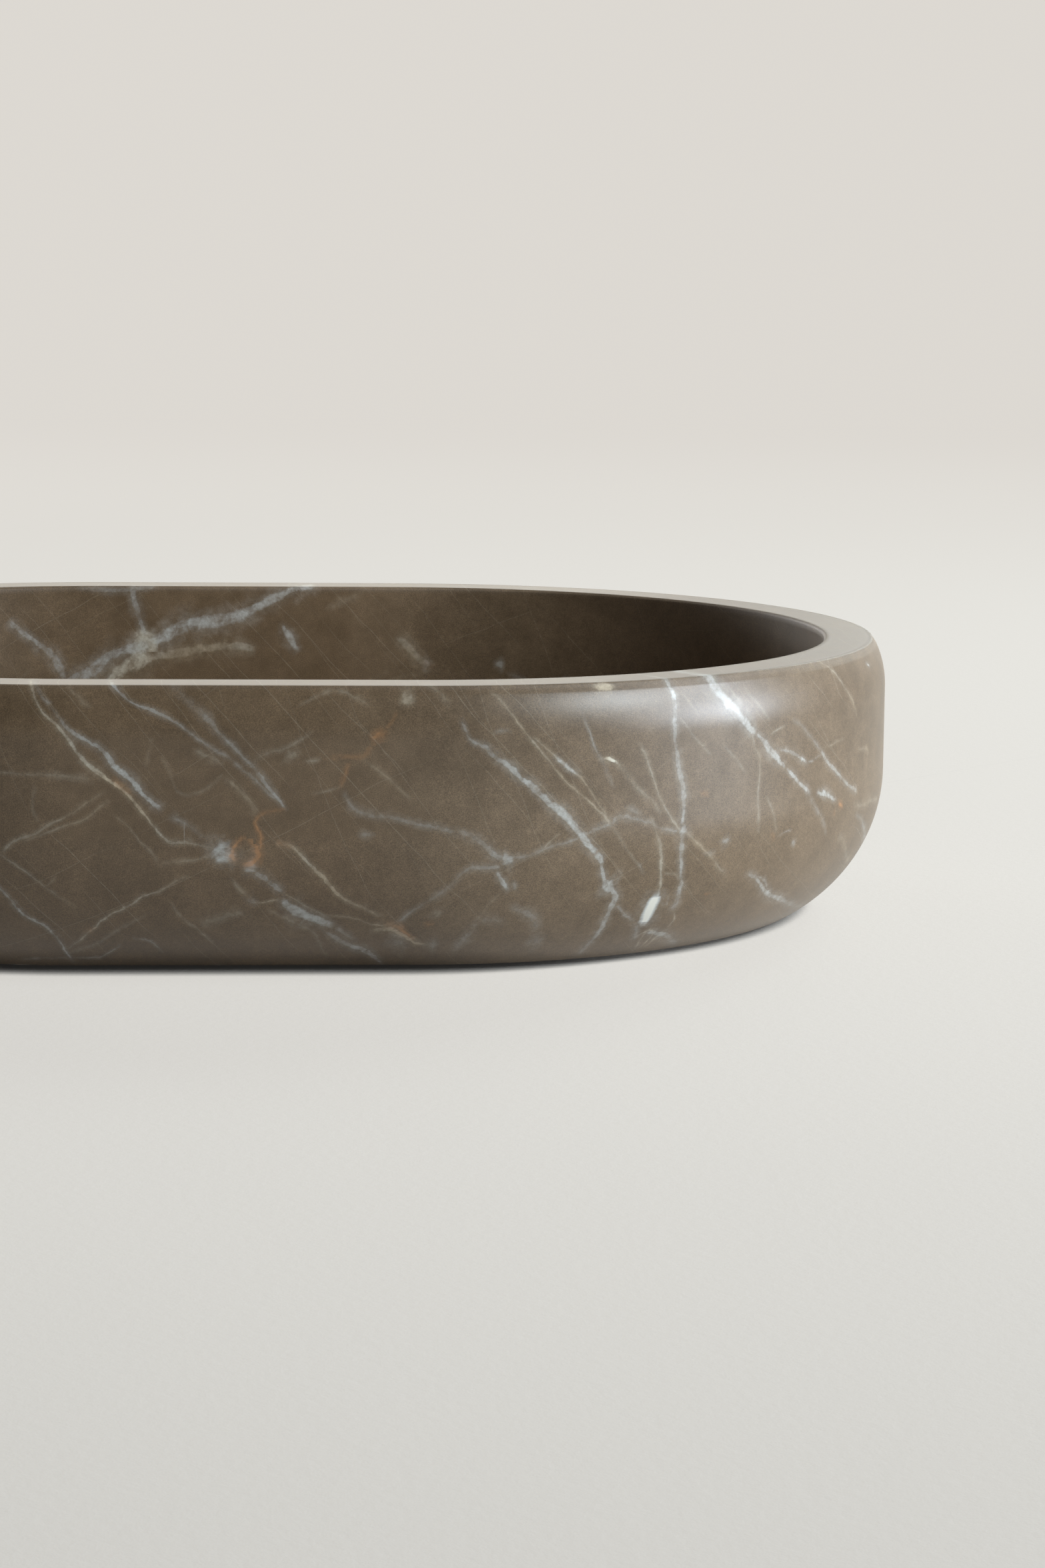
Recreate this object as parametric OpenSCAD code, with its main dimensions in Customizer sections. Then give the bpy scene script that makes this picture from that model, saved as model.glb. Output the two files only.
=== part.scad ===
// Soap dish cut from one block of honed brown marble, standing on four thin pads.
// The plan is a stadium: two half circles joined by a short straight stretch.
// +X runs along the dish, -Y is its front, +Z is up, and Z = 0 is the surface that it stands on.

/* [Overall] */
// Length of the dish from end to end
dish_length = 120; // [95:1:180]
// Width of the dish, which is also the diameter of its round ends
dish_width = 91; // [60:1:115]
// Height of the stone from its flat base to its rim
body_height = 25; // [19:0.5:45]

/* [Outer wall] */
// Height above the base at which the belly reaches the full width
belly_height = 12.7; // [9:0.1:18]
// How far the edge of the flat base stands in from the full width
base_inset = 7.3; // [3:0.1:9]
// Height over which the top of the wall leans in
shoulder_height = 3.8; // [2:0.1:10]
// How far the wall has leaned in at the top of the shoulder
shoulder_inset = 0.85; // [0.3:0.05:1.8]
// Height of the narrow bevel between the shoulder and the rim
arris_height = 0.7; // [0.2:0.05:1.5]
// Width of that bevel, seen from above
arris_width = 0.45; // [0.2:0.05:1.5]

/* [Hollow] */
// Width of the flat rim between its outer and its inner bevel
rim_width = 4.3; // [2.5:0.1:8]
// Size of the fine bevel that breaks the inner edge of the rim
inner_arris = 0.2; // [0.1:0.05:0.8]
// Thickness of the stone under the hollow
floor_thickness = 6; // [3:0.5:10]
// Radius that joins the inner wall to the hollow's floor
hollow_fillet = 9; // [2:0.5:14]

/* [Pads] */
// Diameter of one pad
pad_diameter = 10; // [6:0.5:14]
// Thickness of one pad, which lifts the stone off the surface
pad_thickness = 0.5; // [0.4:0.1:3]
// Radius of the pad's lower edge
pad_edge = 0.15; // [0.05:0.05:0.35]
// Distance from the edge of the flat base to the rim of a pad
pad_margin = 4.5; // [1:0.5:10]
// Turn of a pad round its end of the dish, from the long axis
pad_angle = 45; // [25:1:65]

/* [Hidden] */

stone_colour = [0.38, 0.33, 0.27];
pad_colour = [0.17, 0.16, 0.15];

// How far a cut runs past the face that it leaves
overrun = 1;
// Sides of a circle in the preview
$fn = 160;

half_width = dish_width / 2;
straight_length = dish_length - dish_width;
base_half_width = half_width - base_inset;

// Radius of an arc that stands upright at one end, and has moved in by inset after rise
function leaning_radius(inset, rise) = (inset * inset + rise * rise) / (2 * inset);

belly_radius = leaning_radius(base_inset, belly_height);
shoulder_radius = leaning_radius(shoulder_inset, shoulder_height);
shoulder_top = body_height - arris_height;
shoulder_start = shoulder_top - shoulder_height;
shoulder_reach = half_width - shoulder_inset;
rim_outer = shoulder_reach - arris_width;
rim_inner = rim_outer - rim_width;
hollow_reach = rim_inner - inner_arris;
fillet_top = floor_thickness + hollow_fillet;

pad_radius = pad_diameter / 2;
pad_ring = base_half_width - pad_margin - pad_radius;
pad_x = straight_length / 2 + pad_ring * cos(pad_angle);
pad_y = pad_ring * sin(pad_angle);

// What lies inside the belly: the base is flat, and the arc ends upright at the full width.
module inside_belly() {
    square([half_width - belly_radius, body_height]);
    translate([0, belly_height])
        square([half_width, body_height - belly_height]);
    intersection() {
        translate([half_width - belly_radius, belly_height])
            circle(belly_radius);
        translate([half_width - belly_radius, 0])
            square([belly_radius, belly_height]);
    }
}

// What lies inside the shoulder: the wall leaves the full width upright and leans in.
module inside_shoulder() {
    square([half_width, shoulder_start]);
    translate([0, shoulder_start])
        square([half_width - shoulder_radius, body_height - shoulder_start]);
    intersection() {
        translate([half_width - shoulder_radius, shoulder_start])
            circle(shoulder_radius);
        translate([half_width - shoulder_radius, shoulder_start])
            square([shoulder_radius, body_height - shoulder_start]);
    }
}

// What the bevel at the outer edge of the rim takes away
module outer_arris_cut() {
    polygon([
        [shoulder_reach, shoulder_top],
        [half_width + overrun, shoulder_top],
        [half_width + overrun, body_height + overrun],
        [rim_outer, body_height + overrun],
        [rim_outer, body_height]
    ]);
}

// The hollow's half section, open at the top, with the fine bevel at the inner edge of the rim
module hollow_section() {
    translate([0, floor_thickness])
        square([hollow_reach - hollow_fillet, hollow_fillet]);
    translate([0, fillet_top])
        square([hollow_reach, body_height - fillet_top + overrun]);
    intersection() {
        translate([hollow_reach - hollow_fillet, fillet_top])
            circle(hollow_fillet);
        translate([hollow_reach - hollow_fillet, floor_thickness])
            square([hollow_fillet, hollow_fillet]);
    }
    polygon([
        [hollow_reach, body_height - inner_arris],
        [rim_inner, body_height],
        [rim_inner, body_height + overrun],
        [hollow_reach, body_height + overrun]
    ]);
}

// Half section of the stone, from the middle of the dish out to its wall
module stone_section() {
    difference() {
        intersection() {
            inside_belly();
            inside_shoulder();
        }
        outer_arris_cut();
        hollow_section();
    }
}

// Half a turn of the section, at the right end for side = 1 and at the left end for side = -1
module round_end(side) {
    translate([side * straight_length / 2, 0, 0])
        rotate([0, 0, -side * 90])
            rotate_extrude(angle = 180)
                stone_section();
}

// The section drawn on both sides of the long axis, along the straight stretch
module straight_middle() {
    rotate([90, 0, 90])
        linear_extrude(straight_length, center = true) {
            stone_section();
            mirror([1, 0])
                stone_section();
        }
}

module dish_body() {
    color(stone_colour)
        translate([0, 0, pad_thickness]) {
            round_end(1);
            round_end(-1);
            straight_middle();
        }
}

// One pad under the flat base: side_x is 1 at the right, side_y is 1 at the back.
module pad(side_x, side_y) {
    color(pad_colour)
        translate([side_x * pad_x, side_y * pad_y, 0])
            rotate_extrude() {
                square([pad_radius - pad_edge, pad_thickness]);
                translate([0, pad_edge])
                    square([pad_radius, pad_thickness - pad_edge]);
                intersection() {
                    translate([pad_radius - pad_edge, pad_edge])
                        circle(pad_edge);
                    translate([pad_radius - pad_edge, 0])
                        square([pad_edge, pad_edge]);
                }
            }
}

module pad_front_left() pad(-1, -1);
module pad_front_right() pad(1, -1);
module pad_back_left() pad(-1, 1);
module pad_back_right() pad(1, 1);

dish_body();
pad_front_left();
pad_front_right();
pad_back_left();
pad_back_right();
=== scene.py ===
import math

import bpy
import numpy as np
from mathutils import Matrix, Vector


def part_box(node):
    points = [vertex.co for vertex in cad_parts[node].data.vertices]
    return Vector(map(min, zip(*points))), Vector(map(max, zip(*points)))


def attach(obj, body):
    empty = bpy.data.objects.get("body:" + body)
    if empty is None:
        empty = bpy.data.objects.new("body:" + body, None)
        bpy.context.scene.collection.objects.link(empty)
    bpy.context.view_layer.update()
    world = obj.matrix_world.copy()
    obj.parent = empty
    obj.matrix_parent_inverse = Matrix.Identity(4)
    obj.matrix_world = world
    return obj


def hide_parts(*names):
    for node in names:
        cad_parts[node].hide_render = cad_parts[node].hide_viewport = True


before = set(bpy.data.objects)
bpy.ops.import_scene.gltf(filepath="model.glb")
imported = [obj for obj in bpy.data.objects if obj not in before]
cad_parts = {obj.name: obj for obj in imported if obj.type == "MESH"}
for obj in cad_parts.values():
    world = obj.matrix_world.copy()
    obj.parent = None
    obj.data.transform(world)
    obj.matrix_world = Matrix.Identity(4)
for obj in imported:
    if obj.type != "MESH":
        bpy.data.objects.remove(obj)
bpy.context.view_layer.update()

mm = 0.001  # shapes are worked out in millimetres, and written in metres
scene = bpy.context.scene

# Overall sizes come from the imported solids, rounded to a tenth of a millimetre.
stoneLow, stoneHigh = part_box("dish_body")
dishLength = round((stoneHigh.x - stoneLow.x) / mm, 1)
dishWidth = round((stoneHigh.y - stoneLow.y) / mm, 1)
baseLevel = round(stoneLow.z / mm, 1)
rimLevel = round(stoneHigh.z / mm, 1)
halfWidth = dishWidth / 2
straightHalf = (dishLength - dishWidth) / 2
roundQuarter = math.pi * halfWidth / 2
outlineLength = 4 * (straightHalf + roundQuarter)
print("sizes", dishLength, dishWidth, baseLevel, rimLevel)

# The rest of the section, in millimetres, as in the solids
dish = {
    "bellyHeight": 12.7,
    "baseInset": 7.3,
    "shoulderHeight": 3.8,
    "shoulderInset": 0.85,
    "arrisHeight": 0.7,
    "arrisWidth": 0.45,
    "rimWidth": 4.3,
    "innerArris": 0.2,
    "floorThickness": 6.0,
    "hollowFillet": 9.0,
    "edgeEase": 0.12,  # how far a worn edge is rounded on each side
    "easeLimit": 0.3,  # the most that it takes of the step to the next row
    "guardTimes": 2.2,  # how many eases away a second row keeps the flat beside the edge flat
    "guardLimit": 0.7,
    "columns": 600,
    "crossRows": 18,
    "wallStep": 0.46,  # distances between the rows of the section
    "shoulderStep": 0.368,
    "outerArrisStep": 0.22,
    "innerArrisStep": 0.14,
    "hollowStep": 0.506,
    "filletStep": 0.529,
}


# Radius of an arc that stands upright at one end and has moved in by inset after rise:
# (inset squared + rise squared) / (2 inset).
def leaningRadius(inset, rise):
    return (inset**2 + rise**2) / (2 * inset)


bellyRadius = leaningRadius(dish["baseInset"], dish["bellyHeight"])
shoulderRadius = leaningRadius(dish["shoulderInset"], dish["shoulderHeight"])
bellyLevel = baseLevel + dish["bellyHeight"]
shoulderTop = rimLevel - dish["arrisHeight"]
shoulderLevel = shoulderTop - dish["shoulderHeight"]
rimOuter = dish["shoulderInset"] + dish["arrisWidth"]
rimInner = rimOuter + dish["rimWidth"]
hollowInset = rimInner + dish["innerArris"]
floorLevel = baseLevel + dish["floorThickness"]
filletLevel = floorLevel + dish["hollowFillet"]
floorInset = hollowInset + dish["hollowFillet"]


# How far the outer wall stands in from the widest line at a height: on the belly and the
# shoulder it is radius - sqrt(radius squared - drop squared), and zero between them.
def wallInset(height):
    drop = np.clip(bellyLevel - height, 0, bellyRadius)
    rise = np.clip(height - shoulderLevel, 0, dish["shoulderHeight"])
    bevel = np.clip(height - shoulderTop, 0, dish["arrisHeight"]) / dish["arrisHeight"]
    belly = bellyRadius - np.sqrt(bellyRadius**2 - drop**2)
    shoulder = shoulderRadius - np.sqrt(shoulderRadius**2 - rise**2)
    return belly + shoulder + bevel * dish["arrisWidth"]


# A point of the stadium outline moved in by inset. along is measured on the widest line from the
# middle of the front, towards the right. The straight part is x = along, and the round ends are
# circles of radius halfWidth - inset round (+-straightHalf, 0).
def outline(along, inset):
    along = (along + outlineLength / 2) % outlineLength - outlineLength / 2
    side = np.sign(along)
    run = np.abs(along)
    turn = np.clip((run - straightHalf) / halfWidth, 0, math.pi)
    past = np.clip(run - straightHalf - 2 * roundQuarter, 0, None)
    radius = halfWidth - inset
    x = side * (np.minimum(run, straightHalf) + radius * np.sin(turn) - past)
    return x, -radius * np.cos(turn)


# Rows between two points of the section, about one step apart, without the last point
def straightRows(start, end, step):
    count = max(1, round(math.dist(start, end) / step))
    share = np.arange(count)[:, None] / count
    return np.array(start) + share * (np.array(end) - np.array(start))


# Rows along an arc of the section: centre + radius (cos angle, sin angle), without the last point
def arcRows(centre, radius, startAngle, endAngle, step):
    count = max(2, round(radius * abs(endAngle - startAngle) / step))
    angle = startAngle + np.arange(count) / count * (endAngle - startAngle)
    return np.stack([centre[0] + radius * np.cos(angle), centre[1] + radius * np.sin(angle)], 1)


# The section as (inset, height) rows, from the flat base up the outer wall, over the rim and down
# to the floor of the hollow, and the points of its sharp corners. Insets grow inwards, so the arcs
# are worked out on the other side of zero, where their angles are counted from, and turned over.
def sectionRows():
    footAngle = -math.asin(dish["bellyHeight"] / bellyRadius)
    topAngle = math.asin(dish["shoulderHeight"] / shoulderRadius)
    bellyCentre = (-bellyRadius, bellyLevel)
    shoulderCentre = (-shoulderRadius, shoulderLevel)
    filletCentre = (-floorInset, filletLevel)
    belly = arcRows(bellyCentre, bellyRadius, footAngle, 0, dish["wallStep"])
    shoulder = arcRows(shoulderCentre, shoulderRadius, 0, topAngle, dish["shoulderStep"])
    fillet = arcRows(filletCentre, dish["hollowFillet"], 0, -math.pi / 2, dish["filletStep"])
    for part in (belly, shoulder, fillet):
        part[:, 0] *= -1
    foot = belly[0]
    shoulderEnd = (dish["shoulderInset"], shoulderTop)
    outerEdge, innerEdge = (rimOuter, rimLevel), (rimInner, rimLevel)
    hollowEdge = (hollowInset, rimLevel - dish["innerArris"])
    rows = [
        [(foot[0] + dish["edgeEase"], foot[1])],
        belly,
        straightRows((0, bellyLevel), (0, shoulderLevel), dish["wallStep"]),
        shoulder,
        straightRows(shoulderEnd, outerEdge, dish["outerArrisStep"]),
        straightRows(outerEdge, innerEdge, dish["wallStep"]),
        straightRows(innerEdge, hollowEdge, dish["innerArrisStep"]),
        straightRows(hollowEdge, (hollowInset, filletLevel), dish["hollowStep"]),
        fillet,
        [(floorInset, floorLevel)],
    ]
    rows = np.concatenate([np.asarray(row, float).reshape(-1, 2) for row in rows])
    return rows, np.array([foot, shoulderEnd, outerEdge, innerEdge, hollowEdge], float)


# Rounds each corner c: with a and b one ease away on either side, it moves to a/4 + c/2 + b/4,
# which is the middle of a small curve. A guard row beyond a and b keeps the flats beside it flat.
def easedSection():
    rows, corners = sectionRows()
    out = []
    for i, row in enumerate(rows):
        atCorner = i > 0 and np.min(np.linalg.norm(corners - row, axis=1)) < 1e-6
        if not atCorner:
            out.append(row)
            continue
        sides = []
        for beside in (rows[i - 1], rows[i + 1]):
            way = beside - row
            length = np.linalg.norm(way)
            ease = min(dish["edgeEase"], dish["easeLimit"] * length)
            guard = min(dish["guardTimes"] * ease, dish["guardLimit"] * length)
            sides.append([row + way / length * ease, row + way / length * guard])
        a, b = sides[0][0], sides[1][0]
        before = [sides[0][1], a] if i > 1 else []
        out += [*before, a / 4 + row / 2 + b / 4, b, sides[1][1]]
    return np.array(out)


# The dish as one closed surface. The walls are a grid of section rows by outline columns; the flat
# base and the flat floor are filled by lines that run straight across, from each column of the
# front to the column behind it.
def dishSurface():
    section = easedSection()
    columns = dish["columns"]
    along = np.arange(columns) / columns * outlineLength
    x, y = outline(along[None, :], section[:, :1])
    walls = np.stack([x, y, np.broadcast_to(section[:, 1:], x.shape)], -1)
    rowCount = len(section)
    points = [walls.reshape(-1, 3)]
    index = np.arange(rowCount * columns).reshape(rowCount, columns)
    beside = np.roll(index, -1, axis=1)
    quads = [np.stack([index[:-1], beside[:-1], beside[1:], index[1:]], -1).reshape(-1, 4)]
    used = rowCount * columns
    quarter, half = columns // 4, columns // 2
    front = np.arange(-quarter, quarter + 1) % columns
    back = (half - np.arange(-quarter, quarter + 1)) % columns
    cross = dish["crossRows"]
    for ring, flip in ((index[0], True), (index[-1], False)):
        share = (np.arange(1, cross) / cross)[None, :, None]
        start = points[0][ring[front]][1:-1, None, :]
        end = points[0][ring[back]][1:-1, None, :]
        inner = start + share * (end - start)
        count = inner.shape[0] * inner.shape[1]
        grid = np.empty((half + 1, cross + 1), int)
        grid[:, 0], grid[:, -1] = ring[front], ring[back]
        grid[0, :], grid[-1, :] = ring[front[0]], ring[front[-1]]
        grid[1:-1, 1:-1] = used + np.arange(count).reshape(inner.shape[:2])
        used += count
        points.append(inner.reshape(-1, 3))
        cells = [grid[:-1, :-1], grid[1:, :-1], grid[1:, 1:], grid[:-1, 1:]]
        cells = np.stack(cells, -1).reshape(-1, 4)
        quads.append(cells[:, ::-1] if flip else cells)
    return np.concatenate(points), np.concatenate(quads)


# Makes a mesh from quads, of which some have a corner twice and become triangles.
def meshPiece(name, points, quads):
    same = quads == np.roll(quads, 1, axis=1)
    faces = [[int(v) for v, twice in zip(q, s) if not twice] for q, s in zip(quads, same)]
    mesh = bpy.data.meshes.new(name)
    mesh.from_pydata(np.round(points * mm, 9).tolist(), [], faces)
    mesh.validate()
    mesh.update()
    mesh.polygons.foreach_set("use_smooth", np.ones(len(mesh.polygons), bool))
    piece = bpy.data.objects.new(name, mesh)
    scene.collection.objects.link(piece)
    return piece


dishPoints, dishQuads = dishSurface()
marbleDish = meshPiece("marble_dish", dishPoints, dishQuads)
print("dish surface", len(dishPoints), "points", len(dishQuads), "faces")
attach(marbleDish, "root")
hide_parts("dish_body")

# Veins are sheets that run through the stone. Each is a line drawn on a face of the dish, in
# millimetres: on the outer and inner walls a point is (distance round the widest line from the
# middle of the front, height), and on the floor it is (x, y). A row holds the widths and the
# strengths at even steps along the line, how far the sheet goes in, and the line's points.
whiteVeins = {
    "rimSlash": ((0.9, 1.1, 1.0, 0.35), (0.95, 0.92, 0.9, 0.9), 12, [
        (41.4, 26.4), (41.8, 25.6), (42.3, 24.6), (43.1, 23.5), (44.1, 22.3), (45.2, 21.5),
        (45.9, 20.7), (46.8, 20.2),
    ]),
    "slashMiddle": ((0.3, 0.65, 0.55, 0.35), (0.95, 0.95), 11, [
        (46.7, 20.3), (47.5, 19.7), (48.5, 18.6), (49.8, 17.6), (50.9, 16.7),
    ]),
    "slashLow": ((0.3, 0.35, 0.35, 0.5), (0.95, 0.95, 0.75), 10, [
        (50.8, 16.9), (51.9, 16.0), (52.9, 15.2), (54.3, 14.4), (54.8, 13.7),
    ]),
    "slashTail": ((0.35, 0.3, 0.15), (0.5, 0.3), 8, [
        (54.5, 14.0), (55.8, 12.6), (56.9, 11.7), (58.5, 9.9),
    ]),
    "slashBranch": ((0.15, 0.35, 0.3), (0.5, 0.9, 0.8), 8, [
        (49.6, 18.5), (51.2, 18.2), (52.7, 17.6), (54.2, 16.9),
    ]),
    "branchLink": ((0.14, 0.12), (0.6, 0.5), 6, [(54.0, 16.9), (55.3, 17.1), (56.5, 17.5)]),
    "rightHigh": ((0.15, 0.3, 0.2), (0.3, 0.5, 0.4), 8, [
        (51.6, 21.0), (52.9, 20.4), (54.3, 19.4), (55.6, 18.4), (56.6, 17.5),
    ]),
    "rightSlash": ((0.3, 0.35, 0.3), (0.9, 0.8, 0.8), 9, [
        (56.3, 17.8), (57.7, 16.5), (59.3, 15.6), (60.6, 14.8), (61.9, 14.1), (63.2, 13.5),
        (64.6, 13.0),
    ]),
    "rightDash": ((0.25, 0.5, 0.4, 0.2), (0.6, 1.0, 0.9, 0.5), 7, [
        (55.6, 14.0), (56.6, 13.9), (57.7, 13.6), (58.7, 13.2), (59.9, 12.7),
    ]),
    "rightDrift": ((0.2, 0.45, 0.5), (0.3, 0.55, 0.45), 9, [
        (64.6, 11.0), (65.8, 10.6), (67.2, 10.1), (68.7, 9.3), (70.1, 8.6), (71.9, 7.8),
        (74.3, 7.1), (79.0, 6.1),
    ]),
    "lowRight": ((0.25, 0.4, 0.35, 0.3, 0.3), (0.5, 0.9, 0.8, 0.55, 0.4, 0.3), 9, [
        (46.8, 7.7), (48.5, 7.1), (50.2, 6.0), (51.9, 5.1), (54.3, 4.4), (56.1, 3.9), (57.9, 3.4),
        (60.1, 2.8), (62.2, 2.4), (66.0, 1.8),
    ]),
    "lowRightTwin": ((0.12, 0.2, 0.12), (0.6, 0.5), 7, [
        (48.3, 7.4), (49.4, 7.0), (50.4, 6.4), (51.6, 5.4),
    ]),
    "upright": ((0.34, 0.4, 0.42, 0.46), (0.75, 0.75, 0.72, 0.7, 0.75), 9, [
        (37.1, 26.3), (37.3, 25.3), (37.5, 24.4), (37.6, 23.1), (37.4, 21.5), (37.6, 19.7),
        (37.9, 17.8), (38.3, 16.3), (38.5, 14.7), (38.4, 12.6),
    ]),
    "uprightLow": ((0.48, 0.46, 0.42), (0.75, 0.72, 0.65), 9, [
        (38.4, 13.0), (38.4, 11.8), (38.5, 10.5), (38.9, 8.6), (39.2, 7.1), (39.3, 4.8),
    ]),
    "bigCrack": ((0.2, 0.32, 0.42, 0.5, 0.6, 0.5), (0.5, 0.8, 1.0, 1.0), 11, [
        (17.9, 22.9), (18.2, 22.3), (18.8, 21.1), (19.9, 20.5), (20.8, 19.6), (21.9, 18.9),
        (23.1, 17.8), (24.4, 16.7), (25.7, 15.5), (26.7, 14.7), (27.5, 13.9), (28.4, 12.8),
        (29.2, 11.8), (30.2, 10.9),
    ]),
    "crackLow": ((0.5, 0.4, 0.55, 0.45, 0.4), (1.0, 0.9, 0.85, 0.8, 0.6), 10, [
        (29.8, 11.2), (30.6, 10.1), (30.8, 9.2), (31.2, 8.3), (31.9, 7.7), (32.4, 7.1), (32.4, 6.3),
        (32.2, 4.9), (32.1, 3.6), (31.6, 2.1), (31.2, 0.8),
    ]),
    "crackSide": ((0.2, 0.24, 0.2), (0.65, 0.55), 8, [
        (32.5, 6.3), (33.4, 5.6), (34.3, 4.9), (35.9, 4.1),
    ]),
    "arch": ((0.3, 0.25, 0.3, 0.32), (0.5, 0.4, 0.55, 0.6), 8, [
        (21.9, 10.8), (23.8, 11.1), (24.9, 11.4), (25.9, 11.9), (27.5, 12.2), (28.8, 12.7),
        (30.2, 13.2), (31.4, 13.6),
    ]),
    "archRight": ((0.3, 0.25, 0.3), (0.6, 0.5, 0.5), 8, [
        (31.2, 13.4), (31.9, 14.0), (33.1, 13.9), (34.4, 13.6), (35.4, 13.2), (36.4, 12.7),
        (37.3, 12.6), (38.3, 12.3),
    ]),
    "archFoot": ((0.25, 0.42, 0.3), (0.7, 0.95, 0.8), 8, [(21.1, 10.0), (21.6, 9.0), (22.4, 7.9)]),
    "footLeft": ((0.25, 0.3, 0.35), (0.4, 0.55, 0.6), 8, [
        (17.4, 8.8), (18.2, 9.7), (19.1, 10.2), (20.4, 10.1), (21.7, 10.4),
    ]),
    "footRise": ((0.2, 0.25, 0.2), (0.6, 0.4, 0.45), 8, [
        (12.6, 4.9), (13.3, 5.7), (14.3, 6.5), (15.4, 7.3), (16.4, 7.8), (17.5, 8.9),
    ]),
    "drift": ((0.3, 0.4, 0.35, 0.45), (0.5, 0.45, 0.5, 0.6), 8, [
        (8.1, 16.9), (8.5, 16.0), (9.1, 15.2), (10.6, 14.7), (11.9, 14.6), (13.0, 14.4),
        (14.3, 14.0), (15.6, 13.8), (16.7, 13.5), (17.8, 13.3),
    ]),
    "driftEnd": ((0.45, 0.5, 0.5), (0.6, 0.6, 0.7), 8, [
        (17.5, 13.4), (18.8, 13.0), (19.9, 12.3), (20.7, 11.4), (21.9, 10.7),
    ]),
    "hazeRight": ((0.3, 0.5, 0.35), (0.4, 0.55, 0.3), 6, [
        (22.7, 6.6), (23.6, 6.1), (24.6, 5.6), (25.4, 4.6), (25.7, 3.6),
    ]),
    "hazeUpright": ((0.3, 0.45, 0.3), (0.4, 0.5, 0.4), 6, [
        (19.9, 5.4), (19.4, 4.2), (18.6, 3.1), (17.8, 2.0),
    ]),
    "hazeLevel": ((0.3, 0.5, 0.3), (0.35, 0.45, 0.3), 6, [(19.8, 5.3), (21.2, 5.2), (22.4, 4.8)]),
    "longSlash": ((0.18, 0.25, 0.42, 0.42, 0.38), (0.35, 0.55, 0.9, 1.0, 0.95), 10, [
        (-18.0, 26.2), (-17.7, 25.5), (-17.1, 24.7), (-16.3, 23.9), (-15.6, 23.0), (-14.7, 21.9),
        (-13.4, 21.1), (-12.2, 20.5), (-11.5, 19.7), (-11.0, 18.8), (-9.9, 18.0), (-9.0, 16.9),
        (-8.1, 16.0), (-7.0, 15.1),
    ]),
    "longSlashEnd": ((0.35, 0.3, 0.2), (0.55, 0.4, 0.25), 8, [
        (-6.4, 14.7), (-5.5, 14.2), (-4.4, 13.6), (-3.5, 12.7),
    ]),
    "knotTail": ((0.35, 0.45, 0.4), (0.7, 0.8), 9, [
        (0.5, 10.0), (1.4, 9.3), (2.3, 8.6), (3.2, 7.9),
    ]),
    "tailWide": ((0.55, 1.0, 0.8, 0.45), (0.8, 0.95, 0.8), 9, [
        (2.9, 7.6), (3.5, 6.8), (4.6, 6.1), (5.9, 5.5), (7.5, 4.8),
    ]),
    "tailEnd": ((0.3, 0.2), (0.6, 0.35), 8, [(7.3, 4.9), (8.3, 4.0), (9.3, 3.1)]),
    "tailLow": ((0.2, 0.3, 0.35, 0.25), (0.5, 0.7, 0.9, 0.8), 9, [
        (6.4, 4.4), (7.7, 3.4), (9.1, 2.6), (10.1, 2.2), (10.9, 1.4), (11.8, 0.6),
    ]),
    "upperLeft": ((0.24, 0.24, 0.18, 0.2), (0.8, 0.75, 0.5, 0.45, 0.55), 9, [
        (-11.6, 26.2), (-11.3, 25.7), (-10.7, 25.1), (-9.7, 24.3), (-8.6, 23.8), (-7.3, 23.2),
        (-6.0, 22.6), (-5.2, 22.1), (-3.9, 21.1), (-2.6, 20.2), (-1.5, 19.6), (-0.8, 19.0),
        (0.6, 17.8), (1.9, 16.5), (3.2, 15.6),
    ]),
    "upperMiddle": ((0.35, 0.42, 0.3, 0.24), (0.3, 0.55, 0.6, 0.85), 8, [
        (-6.4, 25.6), (-4.7, 24.2), (-3.6, 23.1), (-2.3, 21.8), (-1.0, 20.5), (0.1, 19.3),
        (1.4, 17.6), (2.5, 16.3), (3.4, 15.2),
    ]),
    "lowLeft": ((0.18, 0.2, 0.18), (0.7, 0.9, 0.85), 8, [
        (-22.6, 10.4), (-20.7, 8.1), (-19.9, 7.1), (-19.0, 5.9), (-18.1, 5.3), (-17.3, 4.9),
        (-16.7, 4.3), (-16.0, 3.4), (-15.6, 2.3), (-14.8, 0.7),
    ]),
    "shortBright": ((0.25, 0.4, 0.25), (0.8, 1.0, 0.8), 5, [
        (26.0, 19.6), (27.3, 18.5), (28.3, 17.8),
    ]),
    "fineLine": ((0.14, 0.22, 0.14), (0.35, 0.7, 0.25, 0.2), 6, [
        (28.7, 22.8), (29.2, 21.5), (29.6, 20.3), (30.4, 18.8), (30.9, 17.7), (31.5, 16.6),
    ]),
    "levelDash": ((0.12, 0.14), (0.4,), 5, [(20.7, 21.6), (21.5, 21.8), (22.3, 21.7)]),
    "dashMiddle": ((0.12, 0.16), (0.6,), 4, [(34.2, 9.9), (34.5, 9.4), (34.9, 8.9)]),
    "archDash": ((0.2, 0.3, 0.2), (0.4, 0.4), 5, [(32.5, 14.8), (33.4, 14.5), (34.2, 14.1)]),
    "dashRight": ((0.2, 0.2), (0.4,), 5, [(41.2, 10.1), (42.3, 10.2)]),
    "webRoot": ((0.35, 0.45, 0.25), (0.6, 0.55, 0.4), 6, [(35.8, 4.1), (36.4, 3.1), (36.9, 2.0)]),
    "webBase": ((0.3, 0.38, 0.3, 0.2), (0.7, 0.85, 0.6, 0.4), 7, [
        (37.4, 3.1), (39.1, 2.7), (40.6, 2.2), (42.2, 1.5), (43.8, 0.9),
    ]),
    "shoulderSpot": ((0.25, 0.4, 0.25), (0.95,), 3, [(68.7, 24.3), (69.3, 24.1), (70.0, 24.0)]),
    "baseHair": ((0.08, 0.08, 0.1), (0.5, 0.5, 0.7), 4, [
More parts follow.
